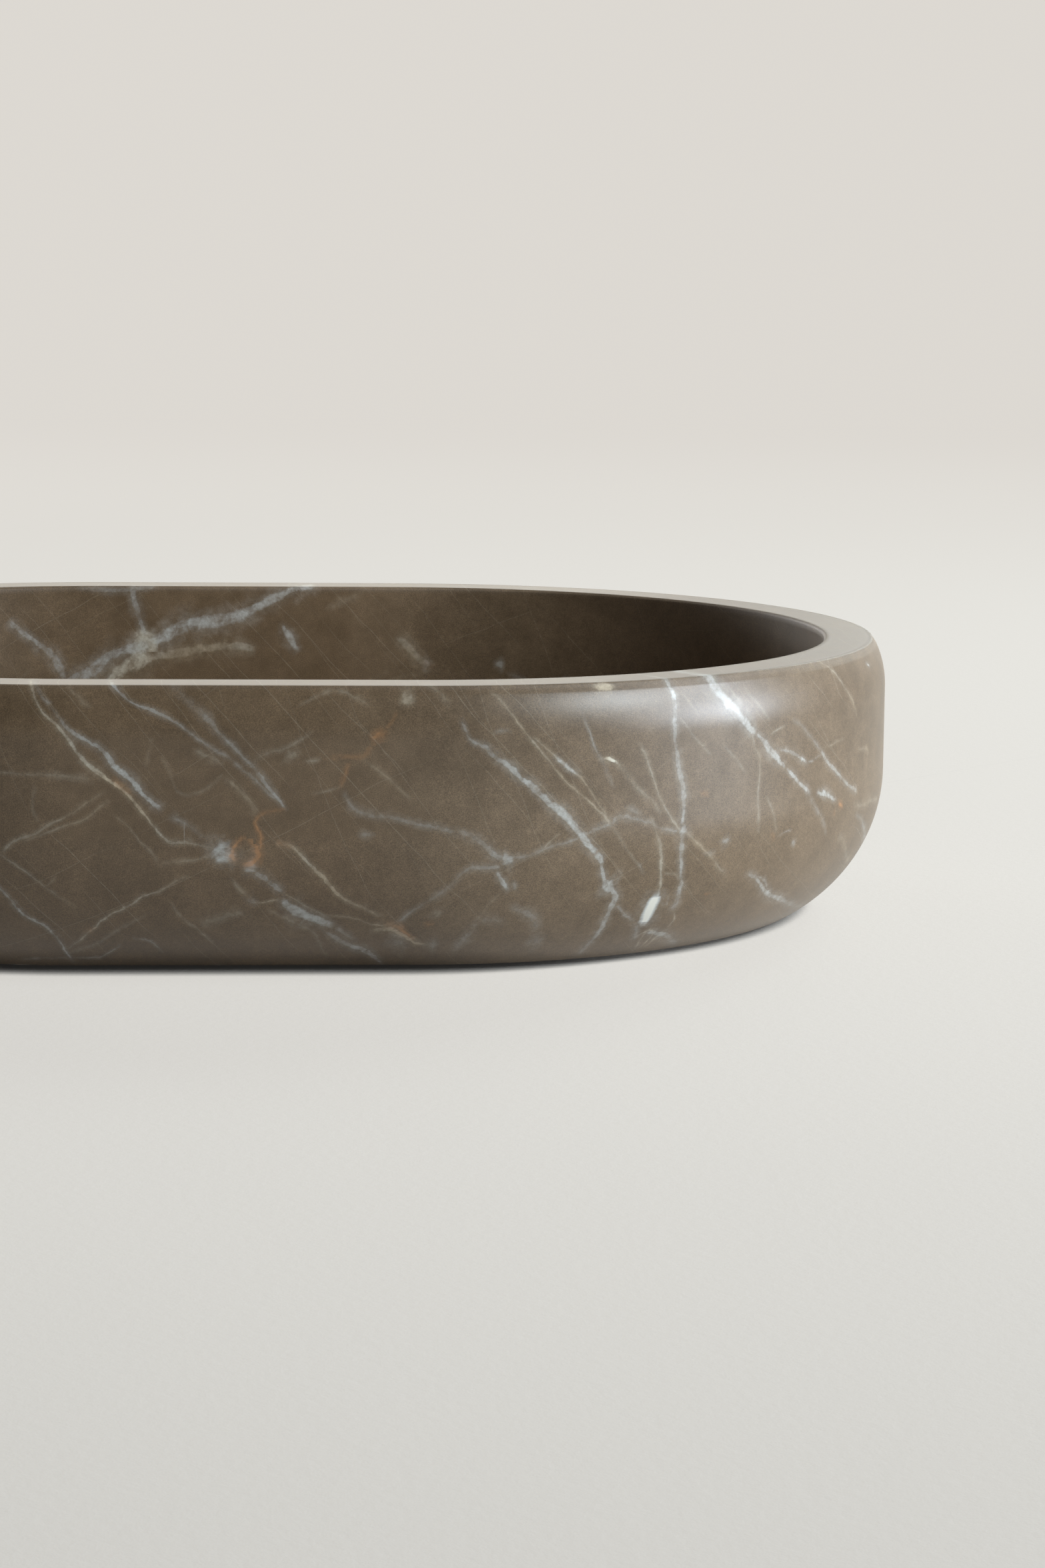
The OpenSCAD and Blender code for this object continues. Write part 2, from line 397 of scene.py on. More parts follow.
        (-20.2, 1.1), (-17.8, 1.4), (-15.7, 1.4), (-13.1, 1.4), (-12.1, 1.8), (-10.8, 2.9),
    ]),
    "baseHook": ((0.08, 0.1), (0.4, 0.7), 4, [(-9.7, 3.6), (-8.4, 3.4), (-7.7, 2.8), (-7.2, 2.1)]),
    "rightHook": ((0.1, 0.1), (0.6,), 4, [(50.3, 10.8), (51.2, 11.1), (52.0, 11.1)]),
    "boxPatch": ((0.9, 0.95, 0.9), (1.3,), 6, [(36.56, 3.5), (36.68, 5.4), (36.8, 7.25)]),
    "knotPatch": ((0.9, 2.3, 0.9), (1.0,), 6, [(-2.6, 10.5), (-2.1, 11.5), (-1.5, 12.6)]),
    "knotFoot": ((0.9, 1.0, 0.3), (0.85,), 5, [(-0.2, 10.4), (0.9, 10.0)]),
    "lowSmudge": ((0.3, 1.2, 0.3), (0.5,), 5, [(11.9, 3.0), (12.8, 3.3), (13.8, 3.5)]),
    "uprightNode": ((0.4, 1.0, 0.4), (0.85,), 5, [(38.2, 11.7), (38.4, 12.3), (38.6, 13.0)]),
    "archNode": ((0.3, 1.15, 0.3), (0.9,), 5, [(21.3, 10.5), (21.9, 10.7), (22.6, 11.0)]),
    "crackNode": ((0.4, 1.3, 0.4), (1.0,), 6, [(30.9, 8.5), (31.5, 8.0), (32.2, 7.4)]),
    "footDot": ((0.1, 0.4, 0.1), (0.5,), 4, [(22.7, 9.0), (22.9, 8.0)]),
    "baseSmudge": ((0.2, 0.8, 0.2), (0.7,), 4, [(15.4, 2.8), (16.4, 2.9)]),
    "dripSpot": ((0.15, 0.6, 0.15), (0.75,), 4, [(-0.1, 7.3), (1.0, 7.2)]),
    "rightSpot": ((0.2, 0.8, 0.2), (0.6,), 4, [(42.8, 11.2), (43.9, 11.0)]),
    "boxDot": ((0.1, 0.4, 0.1), (0.5,), 4, [(38.0, 6.4), (38.5, 5.5)]),
    "middleDash": ((0.1, 0.5, 0.1), (0.5,), 4, [(9.3, 13.1), (10.7, 13.1)]),
    "hazeFoot": ((0.3, 1.1, 0.3), (0.4,), 4, [(24.9, 2.8), (26.7, 3.2)]),
    "rightDot": ((0.1, 0.4, 0.1), (0.65,), 4, [(52.5, 10.3), (52.9, 9.5)]),
    # Painted glints: bright beads where small pits along the upright vein catch the light
    "uprightGlintBeads": ((0.15, 0.34, 0.3), (1.25, 1.1), 4, [
        (37.5, 24.7), (37.55, 24.2), (37.6, 23.5),
    ]),
    "backSpot": ((0.3, 1.5, 0.3), (0.85,), 6, [(117.0, 14.7), (118.0, 14.0), (119.0, 13.3)]),
    "leftSpot": ((0.4, 1.8, 0.4), (0.85,), 6, [(-74.6, 8.0), (-74.0, 9.0), (-73.3, 10.1)]),
    "leftFleck": ((0.2, 1.1, 0.2), (0.75,), 6, [(-121.2, 17.9), (-120.0, 17.0), (-118.9, 16.0)]),
}
tanVeins = {
    "longSlashTwin": ((0.2, 0.2, 0.3, 0.32, 0.22), (0.75, 0.7, 1.0, 1.0, 0.9), 10, [
        (-18.5, 26.2), (-18.1, 25.6), (-17.7, 24.7), (-16.8, 23.2), (-15.7, 22.2), (-14.9, 21.3),
        (-14.4, 20.5), (-13.6, 19.4), (-12.6, 18.5), (-11.3, 17.6), (-10.2, 16.8), (-9.4, 15.9),
        (-8.5, 14.8),
    ]),
    "twinEnd": ((0.22, 0.22, 0.16), (0.9, 0.7, 0.4), 9, [
        (-9.2, 15.6), (-8.5, 14.8), (-7.8, 13.9), (-7.1, 13.0), (-6.4, 12.4), (-5.2, 12.4),
        (-3.9, 12.2), (-2.7, 11.8),
    ]),
    "knotLeft": ((0.14, 0.18, 0.16), (0.25, 0.45, 0.45), 6, [
        (-7.3, 10.5), (-5.7, 10.7), (-4.4, 10.9), (-3.0, 11.3),
    ]),
    "lowMiddle": ((0.2, 0.26, 0.28, 0.2), (0.6, 0.75, 0.9, 0.6, 0.35), 8, [
        (2.6, 12.3), (3.7, 12.1), (4.6, 11.3), (5.5, 10.2), (6.7, 9.0), (7.7, 7.8), (9.1, 6.9),
        (10.4, 6.3), (11.5, 5.4),
    ]),
    "lowThread": ((0.12, 0.14), (0.45, 0.6), 6, [
        (6.7, 5.9), (8.5, 5.7), (9.8, 5.3), (10.9, 4.9), (12.1, 4.8),
    ]),
    "tailEdge": ((0.14, 0.14), (0.6, 0.4), 6, [(3.0, 7.9), (4.1, 7.4), (5.4, 6.5), (7.0, 5.7)]),
    "lowBlotch": ((0.25, 0.4, 0.3, 0.2), (0.5, 0.85, 0.8, 0.5), 6, [
        (10.4, 4.3), (11.9, 4.5), (13.3, 3.9), (14.3, 3.1), (15.9, 2.7),
    ]),
    "risingLeft": ((0.14, 0.16, 0.18, 0.12), (0.5, 0.7, 0.6, 0.35), 6, [
        (-15.6, 2.3), (-14.4, 3.2), (-13.1, 4.4), (-11.8, 5.7), (-10.5, 6.4), (-9.2, 7.2),
        (-8.5, 7.8), (-7.3, 8.1), (-6.3, 8.8), (-4.7, 9.7),
    ]),
    "risingLow": ((0.12, 0.12), (0.35, 0.3), 5, [
        (-15.2, 2.1), (-13.1, 2.8), (-11.8, 3.8), (-10.5, 4.7), (-8.4, 5.9),
    ]),
    "risingHigh": ((0.25, 0.2, 0.16), (0.55, 0.5, 0.4), 6, [
        (-20.5, 11.4), (-19.3, 12.6), (-17.8, 13.0), (-16.3, 14.0), (-14.7, 14.8), (-13.1, 15.9),
        (-11.5, 16.9),
    ]),
    "risingTwin": ((0.12, 0.16), (0.4, 0.45), 5, [
        (-18.9, 12.3), (-17.5, 12.9), (-15.2, 13.8), (-13.4, 14.4), (-12.3, 15.3), (-11.3, 16.0),
    ]),
    "leftFalling": ((0.14, 0.18, 0.12), (0.5, 0.5, 0.25), 6, [
        (-20.9, 11.5), (-19.4, 10.5), (-18.1, 9.6), (-16.9, 8.5), (-15.7, 7.6), (-14.4, 6.5),
    ]),
    "leftTwig": ((0.1, 0.12), (0.45,), 4, [(-16.9, 8.5), (-16.3, 9.0), (-16.1, 9.4)]),
    "fallingFine": ((0.12, 0.14), (0.4, 0.35), 5, [
        (-11.1, 14.8), (-9.9, 13.8), (-8.9, 12.6), (-7.8, 11.3), (-7.3, 10.4),
    ]),
    "fallingTop": ((0.2, 0.3, 0.2), (0.4,), 6, [(-14.9, 25.5), (-14.2, 24.7), (-13.0, 23.7)]),
    "fallingLow": ((0.1, 0.14), (0.4, 0.35), 5, [
        (-6.3, 7.1), (-5.6, 5.6), (-4.7, 4.9), (-2.8, 3.2),
    ]),
    "leftLevel": ((0.2, 0.25, 0.3), (0.45, 0.4, 0.4), 6, [
        (-20.9, 18.4), (-19.2, 18.2), (-17.6, 18.1), (-14.9, 18.0), (-12.6, 17.6),
    ]),
    "leftDrop": ((0.12, 0.14), (0.3,), 5, [(-17.6, 17.3), (-17.8, 15.5), (-17.4, 14.2)]),
    "middleWeb": ((0.1, 0.14), (0.3,), 5, [
        (-7.1, 19.7), (-6.3, 18.1), (-5.7, 16.8), (-4.7, 16.4), (-3.1, 17.1), (-2.1, 18.1),
    ]),
    "middleTwig": ((0.12, 0.14), (0.3,), 5, [(-7.8, 21.3), (-8.1, 19.9), (-8.4, 18.9)]),
    "leftStrand": ((0.3, 0.35, 0.3), (0.45,), 6, [(-4.4, 20.3), (-3.4, 19.8), (-2.0, 19.1)]),
    "knotHigh": ((0.3, 0.3, 0.25), (0.55, 0.45, 0.35), 7, [
        (-1.7, 17.9), (-0.4, 16.7), (0.5, 15.5), (0.8, 14.7),
    ]),
    "tanHaze": ((0.4, 0.55, 0.4), (0.45, 0.4), 6, [
        (-4.0, 5.1), (-2.6, 5.5), (-1.0, 6.1), (0.2, 6.0),
    ]),
    "knotDrip": ((0.2, 0.25, 0.3, 0.2), (0.4, 0.5, 0.45), 5, [
        (-1.2, 9.2), (-0.4, 8.1), (0.3, 7.3),
    ]),
    "dripBranch": ((0.16, 0.2), (0.5, 0.75), 5, [(0.7, 7.1), (1.4, 7.1), (2.7, 7.4)]),
    "dripLow": ((0.2, 0.2, 0.14), (0.35, 0.4, 0.35), 5, [
        (1.7, 6.5), (3.3, 5.5), (4.8, 4.7), (5.6, 4.3), (6.0, 3.6), (6.4, 2.4), (6.9, 1.5),
    ]),
    "greenDash": ((0.08, 0.2, 0.08), (0.5,), 5, [(4.6, 19.3), (5.4, 19.3), (6.2, 19.4)]),
    "risingMiddle": ((0.2, 0.25, 0.15), (0.4, 0.4), 5, [
        (0.6, 19.4), (2.2, 20.1), (3.5, 20.5), (5.4, 21.7),
    ]),
    "risingRim": ((0.12, 0.16), (0.3, 0.35), 5, [(4.3, 23.9), (5.9, 24.7), (7.4, 25.2)]),
    "rimFine": ((0.2, 0.25, 0.2), (0.45, 0.4), 5, [(7.4, 25.2), (8.8, 24.8), (10.2, 23.9)]),
    "middleFall": ((0.14, 0.18, 0.14), (0.4, 0.45, 0.35), 5, [
        (9.8, 19.4), (11.2, 18.4), (12.5, 17.3), (13.8, 16.0),
    ]),
    "middleCurl": ((0.1, 0.12), (0.4,), 4, [(7.9, 17.2), (6.9, 16.8), (5.4, 16.5)]),
    "topHaze": ((0.25, 0.3, 0.2), (0.4,), 5, [(14.6, 25.7), (15.9, 25.2), (17.0, 24.0)]),
    "fanOuter": ((0.16, 0.18, 0.2, 0.18), (0.45, 0.65, 0.6, 0.6, 0.7), 7, [
        (20.5, 25.1), (22.0, 23.6), (22.9, 22.4), (24.0, 21.0), (25.2, 19.6), (26.7, 17.8),
        (28.3, 16.3), (29.6, 15.2), (31.3, 13.4),
    ]),
    "fanTail": ((0.14, 0.12), (0.4, 0.25), 6, [
        (31.5, 13.1), (32.8, 11.3), (34.1, 9.9), (34.9, 8.9),
    ]),
    "fanInner": ((0.12, 0.16, 0.18, 0.14), (0.5, 0.5, 0.5, 0.45), 7, [
        (23.9, 21.3), (24.9, 20.6), (26.3, 19.3), (28.1, 17.9), (28.8, 17.2), (29.4, 16.4),
        (30.4, 14.8), (31.1, 13.8),
    ]),
    "fanHigh": ((0.25, 0.3, 0.25), (0.4, 0.4), 6, [
        (31.6, 18.9), (32.8, 17.6), (33.8, 16.4), (35.2, 15.3), (36.2, 14.0),
    ]),
    "archHook": ((0.1, 0.12), (0.55,), 4, [(26.7, 13.0), (25.7, 12.2), (24.9, 11.4)]),
    "footThread": ((0.12, 0.14), (0.4,), 5, [(21.7, 7.8), (20.7, 6.8), (19.9, 5.6)]),
    "uprightBranch": ((0.16, 0.22, 0.25), (0.45, 0.55, 0.65), 7, [
        (33.9, 20.3), (34.8, 18.4), (35.4, 17.1), (35.8, 15.9), (36.7, 14.4), (37.7, 13.0),
        (38.3, 12.4),
    ]),
    "uprightTail": ((0.2, 0.2, 0.16), (0.6, 0.5, 0.4), 6, [
        (38.6, 12.5), (39.8, 11.4), (41.4, 10.2), (42.7, 9.0), (44.3, 7.8),
    ]),
    "uprightFoot": ((0.1, 0.12), (0.6,), 4, [(39.4, 4.9), (40.0, 4.2), (39.9, 3.2)]),
    "twin": ((0.2, 0.25, 0.28, 0.2), (0.5, 0.6, 0.7, 0.6), 7, [
        (35.1, 13.9), (35.6, 12.8), (36.2, 11.0), (36.6, 9.2), (36.9, 7.6), (37.1, 6.5),
    ]),
    "twinLink": ((0.1, 0.12), (0.4,), 4, [(36.9, 8.8), (38.5, 8.5)]),
    "webAcross": ((0.1, 0.16, 0.1), (0.7,), 5, [
        (36.6, 2.5), (37.7, 3.2), (38.6, 2.6), (38.3, 1.2),
    ]),
    "webDown": ((0.1, 0.14, 0.1), (0.6,), 5, [(37.9, 3.7), (37.5, 2.4), (38.0, 0.9)]),
    "webUp": ((0.1, 0.14, 0.1), (0.6,), 5, [(40.0, 3.0), (39.4, 2.5), (39.0, 1.2)]),
    "rightFall": ((0.1, 0.14), (0.4,), 5, [(37.8, 22.6), (39.1, 21.0), (40.1, 19.9), (41.4, 18.8)]),
    "rightFallHigh": ((0.1, 0.12), (0.35,), 5, [(38.5, 24.4), (39.3, 23.3), (40.0, 22.4)]),
    "rightFallLow": ((0.12, 0.14), (0.35,), 5, [(42.5, 19.7), (43.5, 18.9), (45.6, 16.8)]),
    "slashTop": ((0.1, 0.12), (0.4,), 5, [(43.9, 24.6), (44.4, 23.6), (45.0, 23.0)]),
    "slashTopRight": ((0.14, 0.18), (0.35,), 5, [(45.6, 24.2), (47.2, 22.6), (48.5, 21.3)]),
    "slashTwig": ((0.1, 0.14, 0.1), (0.6,), 5, [(48.4, 19.9), (49.3, 20.3), (50.6, 20.5)]),
    "slashThread": ((0.16, 0.26, 0.22, 0.16), (0.4, 0.5, 0.45, 0.35), 6, [
        (46.0, 20.4), (46.7, 18.9), (47.2, 18.1), (47.3, 16.5), (47.1, 14.7), (47.2, 12.8),
        (47.3, 11.4),
    ]),
    "secondThread": ((0.12, 0.16), (0.4,), 5, [(48.2, 14.6), (49.1, 13.1), (49.8, 11.2)]),
    "topRight": ((0.16, 0.24, 0.16), (0.5, 0.55, 0.35), 6, [
        (57.7, 25.7), (59.3, 24.8), (60.3, 24.0), (61.4, 22.8), (62.7, 21.6), (64.0, 20.2),
    ]),
    "rightTwig": ((0.12, 0.16), (0.45,), 5, [
        (57.0, 17.9), (58.3, 18.1), (59.5, 18.2), (60.9, 18.3),
    ]),
    "rightLevel": ((0.2, 0.25, 0.2), (0.4,), 5, [
        (64.3, 16.9), (65.8, 16.8), (67.4, 16.5), (68.0, 15.9),
    ]),
    "rightBand": ((0.3, 0.5, 0.4), (0.35, 0.45), 6, [
        (64.0, 11.8), (67.4, 11.4), (69.3, 11.5), (71.4, 11.3), (74.0, 11.0),
    ]),
    "rightLow": ((0.3, 0.35), (0.3, 0.35), 6, [
        (61.4, 9.2), (62.7, 8.9), (64.8, 7.6), (67.2, 6.5), (70.1, 5.6),
    ]),
    "dashHigh": ((0.15, 0.4, 0.15), (1.2, 1.3), 4, [(30.3, 19.15), (31.1, 19.1), (31.9, 18.7)]),
    "rimFlake": ((0.2, 0.7, 0.65, 0.2), (1.1,), 3, [
        (29.6, 25.3), (30.6, 25.2), (31.4, 25.1), (32.2, 25.25),
    ]),
    "topSpot": ((0.4, 1.4, 0.4), (0.7,), 4, [(12.8, 24.3), (13.4, 24.4), (14.0, 24.3)]),
    "middleSpot": ((0.2, 0.9, 0.2), (0.5,), 4, [(3.4, 20.3), (4.2, 19.3)]),
    "footSpot": ((0.2, 0.9, 0.2), (0.5,), 4, [(16.0, 6.6), (16.4, 5.6)]),
}
rustVeins = {
    "ringLeft": ((0.3, 0.36, 0.28), (0.8, 1.0, 0.8), 5, [
        (-0.6, 10.7), (-1.15, 11.1), (-1.25, 11.6), (-0.9, 12.3), (-0.3, 12.75), (0.1, 12.9),
    ]),
    "ringRight": ((0.2, 0.32, 0.34, 0.28), (0.6, 0.8, 1.0, 0.9), 5, [
        (0.0, 12.8), (0.5, 12.4), (0.85, 11.7), (0.9, 11.1), (0.6, 10.7), (-0.1, 10.5),
        (-0.6, 10.7),
    ]),
    "knotFeeder": ((0.14, 0.16, 0.2, 0.2), (0.55, 0.6, 0.8, 0.8), 6, [
        (3.4, 15.2), (2.5, 15.1), (1.4, 14.9), (0.85, 14.3), (0.9, 13.6), (1.2, 13.1), (1.1, 12.1),
        (1.0, 11.4),
    ]),
    "lowStart": ((0.18, 0.14), (0.7, 0.3), 4, [(2.6, 12.35), (3.2, 12.2), (3.9, 12.0)]),
    "speckSteps": ((0.3, 0.4, 0.3), (0.9,), 3, [
        (10.5, 20.8), (10.8, 21.5), (11.2, 21.4), (11.5, 21.9),
    ]),
    "speckBelow": ((0.14, 0.14), (0.5, 0.35), 3, [
        (10.5, 20.7), (10.0, 19.9), (9.4, 19.7), (8.0, 19.7), (6.7, 19.6),
    ]),
    "speckAbove": ((0.12, 0.12), (0.4, 0.25), 3, [(11.7, 22.1), (12.1, 22.6), (12.5, 23.4)]),
    "threadRise": ((0.16, 0.18), (0.65, 0.5), 4, [(7.9, 17.2), (8.3, 18.4), (8.6, 19.4)]),
    "blotchCore": ((0.25, 0.35, 0.25), (0.6, 0.75), 3, [
        (11.8, 4.9), (12.5, 4.8), (13.5, 4.1), (14.2, 3.5),
    ]),
    "blotchDot": ((0.2, 0.25), (0.7,), 3, [(15.2, 4.9), (15.6, 4.9)]),
    "leftDot": ((0.16, 0.2), (0.6,), 3, [(-13.6, 4.1), (-13.0, 4.5)]),
    "slashStain": ((0.2, 0.25, 0.2), (0.55,), 5, [(-11.2, 17.9), (-10.3, 17.0), (-9.6, 16.5)]),
    "rightSpeck": ((0.25, 0.35, 0.25), (0.85,), 3, [(60.0, 12.6), (60.6, 12.3), (61.2, 12.1)]),
    "rightStain": ((0.2, 0.25), (0.5,), 3, [(59.2, 11.8), (59.6, 11.6)]),
    "middleStain": ((0.2, 0.3), (0.4,), 3, [(40.3, 15.5), (41.2, 15.4)]),
    "lowStain": ((0.14, 0.16), (0.6,), 3, [(42.5, 6.4), (42.9, 6.2)]),
    "hookStain": ((0.16, 0.2), (0.6,), 3, [(49.4, 11.0), (49.6, 10.5)]),
}
innerVeins = {
    "white": {
        "farBand": ((0.7, 1.1, 1.2), (0.85, 1.0), 7, [
            (165.5, 25.8), (168.8, 24.9), (171.2, 23.7), (173.5, 22.6), (175.8, 22.0),
            (178.1, 21.8), (180.0, 21.2), (181.5, 20.3), (183.0, 19.4),
        ]),
        "farBandLow": ((1.1, 1.0, 0.7), (0.85, 0.8), 7, [
            (183.0, 19.4), (185.8, 18.7), (188.0, 17.8), (189.6, 16.6), (192.3, 15.6),
            (195.0, 14.2),
        ]),
        "farUpright": ((0.6, 0.7, 0.5), (0.75,), 6, [
            (184.9, 25.9), (184.7, 24.5), (184.4, 23.2), (183.9, 21.6), (183.4, 20.2),
        ]),
        "farLeft": ((0.5, 0.7, 0.6), (0.7,), 6, [
            (199.5, 22.0), (198.1, 21.0), (195.8, 19.5), (194.2, 18.2), (193.1, 16.4),
            (192.0, 14.8),
        ]),
        "farDash": ((0.5, 0.8, 0.5), (0.85,), 5, [(169.3, 21.6), (168.5, 20.3), (167.5, 18.6)]),
        # A painted glint: a faint white streak drawn as a vein where the far wall glints
        "farGlint": ((0.2, 0.4, 0.2), (0.4,), 4, [(143.6, 16.6), (142.3, 16.4), (141.0, 16.1)]),
        "farSpot": ((0.3, 1.2, 0.3), (0.8,), 5, [(152.9, 17.4), (154.1, 17.4)]),
        "farSpotRight": ((0.3, 1.1, 0.3), (0.75,), 5, [(144.0, 17.6), (145.2, 17.6)]),
        "farRim": ((0.3, 0.6, 0.3), (0.55,), 4, [
            (191.0, 25.3), (188.0, 25.1), (185.0, 25.2), (182.2, 25.5),
        ]),
    },
    "tan": {
        "farKnot": ((0.9, 2.4, 0.9), (1.0,), 6, [(182.5, 18.2), (183.3, 19.6), (184.2, 21.2)]),
        "farKnotLow": ((0.8, 2.0, 0.8), (1.0,), 6, [(182.6, 18.4), (184.2, 17.7), (186.0, 16.8)]),
        "farThread": ((0.7, 1.0, 0.6), (0.65,), 6, [
            (183.5, 18.0), (181.2, 18.3), (178.8, 18.7), (176.5, 19.1), (174.2, 19.3),
            (171.9, 18.9),
        ]),
        "farCream": ((0.9, 1.3, 0.9), (0.9,), 6, [
            (183.4, 20.8), (184.0, 18.6), (185.2, 17.4), (186.6, 16.2), (188.0, 15.0),
        ]),
        "farHigh": ((0.25, 0.4, 0.2), (0.3,), 5, [(160.8, 24.9), (162.5, 24.1), (164.6, 23.3)]),
        "farRight": ((0.5, 0.7, 0.7), (0.6,), 5, [
            (157.4, 20.4), (156.2, 19.5), (154.2, 17.8), (153.3, 17.2),
        ]),
    },
    "rust": {
        "farKnot": ((0.2, 0.35, 0.2), (0.5,), 4, [(153.9, 17.7), (153.4, 17.3), (152.9, 17.4)]),
    },
}

# Where the photograph doesn't show the stone, veins of the same kinds grow from a fixed seed. A
# face gives the range of starting points, and how many veins of each tint. A tint gives the width
# and the length at size zero and what is added at size one, and the range of strengths.
grown = {
    "seed": 41,
    "step": 1.6,  # millimetres from point to point
    "headings": (-44, -38, -52, 140, 35),  # degrees
    "headingShares": (0.35, 0.25, 0.2, 0.1, 0.1),
    "headingSpread": 9,
    "drift": 0.13,  # radians per step
    "wave": 0.12,
    "waveTurn": (0.3, 0.9),
    "size": (0.3, 1.0),
    "sizePower": 1.5,
    "depth": (6, 6),
    "ends": (0.6, 0.5),  # widths at the start and the end, as shares of the widest
    "outer": {"first": (84, 322), "second": (2, 26), "white": 17, "tan": 24, "rust": 5},
    "inner": {"first": (-70, 150), "second": (9, 26), "white": 9, "tan": 14, "rust": 3},
    "floor": {"first": (-48, 48), "second": (-30, 30), "white": 9, "tan": 15, "rust": 3},
    "white": {"width": (0.16, 0.45), "length": (12, 30), "strength": (0.35, 0.95)},
    "tan": {"width": (0.11, 0.2), "length": (8, 22), "strength": (0.3, 0.7)},
    "rust": {"width": (0.16, 0.15), "length": (3, 3), "strength": (0.3, 0.7)},
}


# Points of one wandering line. Its heading drifts by small random steps, with a slow wave on top:
# heading + sum of the steps + wave sin(count turn).
def grownLine(dice, zone, length):
    count = max(4, int(length / grown["step"]))
    start = [dice.uniform(*zone["first"]), dice.uniform(*zone["second"])]
    heading = dice.choice(grown["headings"], p=grown["headingShares"])
    heading = math.radians(heading + dice.normal(0, grown["headingSpread"]))
    drift = np.cumsum(dice.normal(0, grown["drift"], count))
    wave = grown["wave"] * np.sin(np.arange(count) * dice.uniform(*grown["waveTurn"]))
    turns = heading + drift + wave
    steps = np.stack([np.cos(turns), np.sin(turns)], 1) * grown["step"]
    return np.array(start) + np.cumsum(steps, 0)


# All veins of one tint as (is it grown, face, widths, strengths, depth, points)
def gatherVeins(tint, drawn):
    veins = [(False, "outer", *row) for row in drawn.values()]
    veins += [(False, "inner", *row) for row in innerVeins[tint].values()]
    dice = np.random.default_rng(grown["seed"] + list(innerVeins).index(tint))
    kind = grown[tint]
    for face in ("outer", "inner", "floor"):
        for _ in range(grown[face][tint]):
            size = dice.uniform(*grown["size"]) ** grown["sizePower"]
            width = kind["width"][0] + kind["width"][1] * size
            length = kind["length"][0] + kind["length"][1] * size
            depth = grown["depth"][0] + grown["depth"][1] * size
            strength = dice.uniform(*kind["strength"])
            line = grownLine(dice, grown[face], length)
            widths = (width * grown["ends"][0], width, width * grown["ends"][1])
            veins.append((True, face, widths, (strength,), depth, line))
    return veins


# The way from the long axis of the dish to each point, seen from above
def fromAxis(x, y):
    return np.stack([x - np.clip(x, -straightHalf, straightHalf), y], 1)


# What the photograph shows of the stone. Each limit comes with the stretch over which the drawn
# veins give way to the grown ones.
shown = {
    "leftEdge": (-26, 4),  # millimetres
    "endTurn": (94, 10),  # degrees round an end, from the front
    "hollowLevel": (17, 2),
    "wallReach": 0.4,  # how near a point of the outer wall lies to it
    "baseReach": 0.1,
    "underside": 1,  # how high over the base the underside counts
}


# One where the photograph doesn't show the stone, and zero where it does: the front and right of
# the outer wall, the rim and the upper part of the hollow, all right of the left edge of the view.
def unseenShare(spots):
    x, y, height = spots.T
    towards = fromAxis(x, y)
    away = np.linalg.norm(towards, axis=1)
    turn = np.abs(np.degrees(np.arctan2(towards[:, 0], -towards[:, 1])))
    nearWall = np.abs(halfWidth - away - wallInset(height)) < shown["wallReach"]
    onWall = nearWall & (height > baseLevel + shown["baseReach"])
    leftOfView = np.clip((shown["leftEdge"][0] - x) / shown["leftEdge"][1], 0, 1)
    aroundEnd = np.clip((turn - shown["endTurn"][0]) / shown["endTurn"][1], 0, 1)
    belowView = np.clip((shown["hollowLevel"][0] - height) / shown["hollowLevel"][1], 0, 1)
    inHollow = height > baseLevel + shown["underside"]
    offWall = np.where(inHollow, belowView, 1)
    return np.maximum(leftOfView, np.where(onWall, aroundEnd, offWall))


# A smooth line through the points, by Catmull-Rom: each stretch is a cubic whose slope at a point
# is half the step between its neighbours.
def smoothLine(line, steps=5):
    line = np.asarray(line, float)
    padded = np.concatenate([[2 * line[0] - line[1]], line, [2 * line[-1] - line[-2]]])
    a, b, c, d = (padded[i : len(padded) - 3 + i, None, :] for i in range(4))
    t = (np.arange(steps) / steps)[None, :, None]
    curve = 2 * b + (c - a) * t + (2 * a - 5 * b + 4 * c - d) * t**2
    curve = 0.5 * (curve + (3 * b - a - 3 * c + d) * t**3)
    return np.concatenate([curve.reshape(-1, 2), line[-1:]])


# How the sheets run into the stone and end, in millimetres
sheets = {
    "floorWay": (0.12, 0.1, -1.0),  # the way in from the floor of the hollow
    "wallFall": -0.15,  # how far a sheet falls on its way in from a wall
    "margin": 3.0,  # a sheet is worked out this far from its line
    "endFade": 0.5,  # over which it fades at both ends of the line
    "endLimit": 0.2,  # the most of that, as a share of the line
    "depthFade": 1.25,  # depths at which it has faded out, over the last one of them
    "nowhere": (50.0, 0.1),  # distance and width where there is no sheet
    "reach": (0.5, 1.6),  # how far it shows: so far, and so many widths more
    "reachFade": 1.2,  # reaches at which it no longer counts on a face
}


# Places a line on its face and gives the way into the stone there: across the wall, or down.
def placeLine(face, line):
    first, second = line[:, 0], line[:, 1]
    if face == "floor":
        spots = np.stack([first, second, np.full(len(first), floorLevel)], 1)
        return spots, np.array(sheets["floorWay"])
    inset = wallInset(second) if face == "outer" else np.full(len(first), hollowInset)
    x, y = outline(first, inset)
    towards = fromAxis(x, y).mean(0)
    sign = -1 if face == "outer" else 1
    inward = np.array([*(sign * towards / np.linalg.norm(towards)), sheets["wallFall"]])
    return np.stack([x, y, second], 1), inward


